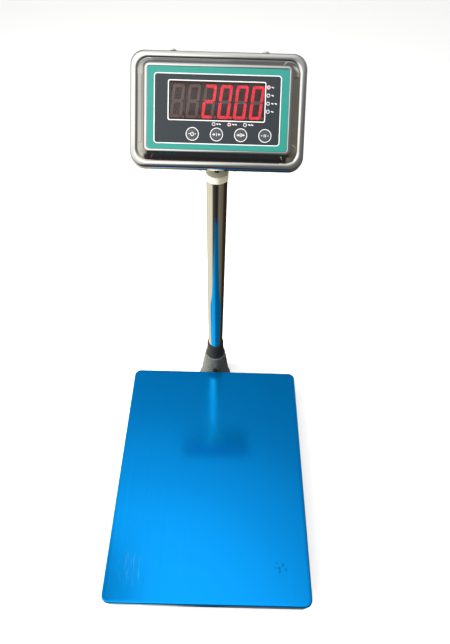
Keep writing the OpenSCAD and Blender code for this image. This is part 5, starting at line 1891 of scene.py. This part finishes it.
    def icon(self, key: Key) -> list[Array]:
        """The strokes of a key's symbol, in millimetres round its middle.

        Power is an arc with a gap and a bar; tare is two arrows that meet at a bar; zero is two
        arrows that meet at a ring; hold is a pair of upright bars between short dashes.
        """
        angle = np.linspace(0, TAU, 25)
        ring = np.stack([np.sin(angle), np.cos(angle)], 1)
        left = [np.array([[-5.6, 0], [-2.6, 0]]), np.array([[-4.0, 1.5], [-2.4, 0], [-4.0, -1.5]])]
        right = [stroke * [-1, 1] for stroke in left]
        dash = [np.array([[-5.4, 0], [-3.6, 0]]), np.array([[3.6, 0], [5.4, 0]])]
        gap = np.linspace(0.11 * TAU, 0.89 * TAU, 22)
        arc = np.stack([2.3 * np.sin(gap), 2.3 * np.cos(gap)], 1)
        table = {
            Key.POWER: dash + [arc, np.array([[0, 0.4], [0, 2.9]])],
            Key.TARE: left + right + [np.array([[0, -2.1], [0, 2.1]])],
            Key.ZERO: left + right + [ring * [1.15, 1.9]],
            Key.HOLD: dash + [np.array([[-1.1, -1.9], [-1.1, 1.9]]), np.array([[1.1, -1.9], [1.1, 1.9]])],
        }
        return table[key]

    def keys(self) -> None:
        """Four embossed key discs, each on its own body, with a white ring and symbol."""
        for key in Key:
            name = key.name.lower()
            low, high = FACE.extent(f"key_{name}")
            x, y = (low[:2] + high[:2]) / 2
            seat = FACE.moved(right=x, up=y)
            foot = low[2] / MM
            line = rounded_path([(3, foot, 0), (9.25, foot, 0.1), (9.25, 6.95, 0.15), (8.9, 7.0, 0.3),
                                 (7.6, 7.04, 1), (5.4, 7.18, 2), (0.4, 7.22, 0)], steps=4) * MM
            Skin(f"key_cap_{name}").turned(line, seat, 96).piece(f"{name}_key", "key_film", KEY_FILM,
                                                                 [f"key_{name}"])
            ink = Skin(f"key_ink_{name}")
            ink.ribbon(circle(64) * 8.65 * MM, 0.95 * MM, 6.9 * MM, 7.06 * MM, seat, closed=True)
            for stroke in self.icon(key):
                ink.ribbon(stroke * MM, 0.8 * MM, 7.0 * MM, 7.26 * MM, seat)
            ink.piece(f"{name}_key", "key_film", PRINT_WHITE)

    def build(self) -> None:
        """Makes the display and keys, and dresses the film and what lies behind it."""
        self.digits()
        self.window_film()
        self.prints()
        self.lamp_lenses()
        self.keys()
        dress(replace(TEAL, seat=FACE.at(-0.7, -0.6), half_w=87.6 * MM, half_h=46.1 * MM, corner=4 * MM),
               "overlay_panel")
        for finish, node in ((BOARD, "display_board"), (BRASS, "board_standoffs"), (BLACK, "key_switches"),
                             (WRAP, "battery")):
            dress(finish, node)


# --- build ---


def main() -> None:
    """Builds every sub-assembly in order."""
    logging.basicConfig(level=logging.INFO, format="%(name)s: %(message)s")
    Studio().build()
    assemblies = [WeighingPan(), LoadFrame(), Base(), Column(), SwivelHead(), Housing(), FrontPanel()]
    assemblies += [LevellingFoot(f"{end}_{side}") for end in ("front", "rear") for side in ("left", "right")]
    for assembly in assemblies:
        LOG.info("building %s", type(assembly).__name__)
        assembly.build()


if __name__ == "__main__":
    main()
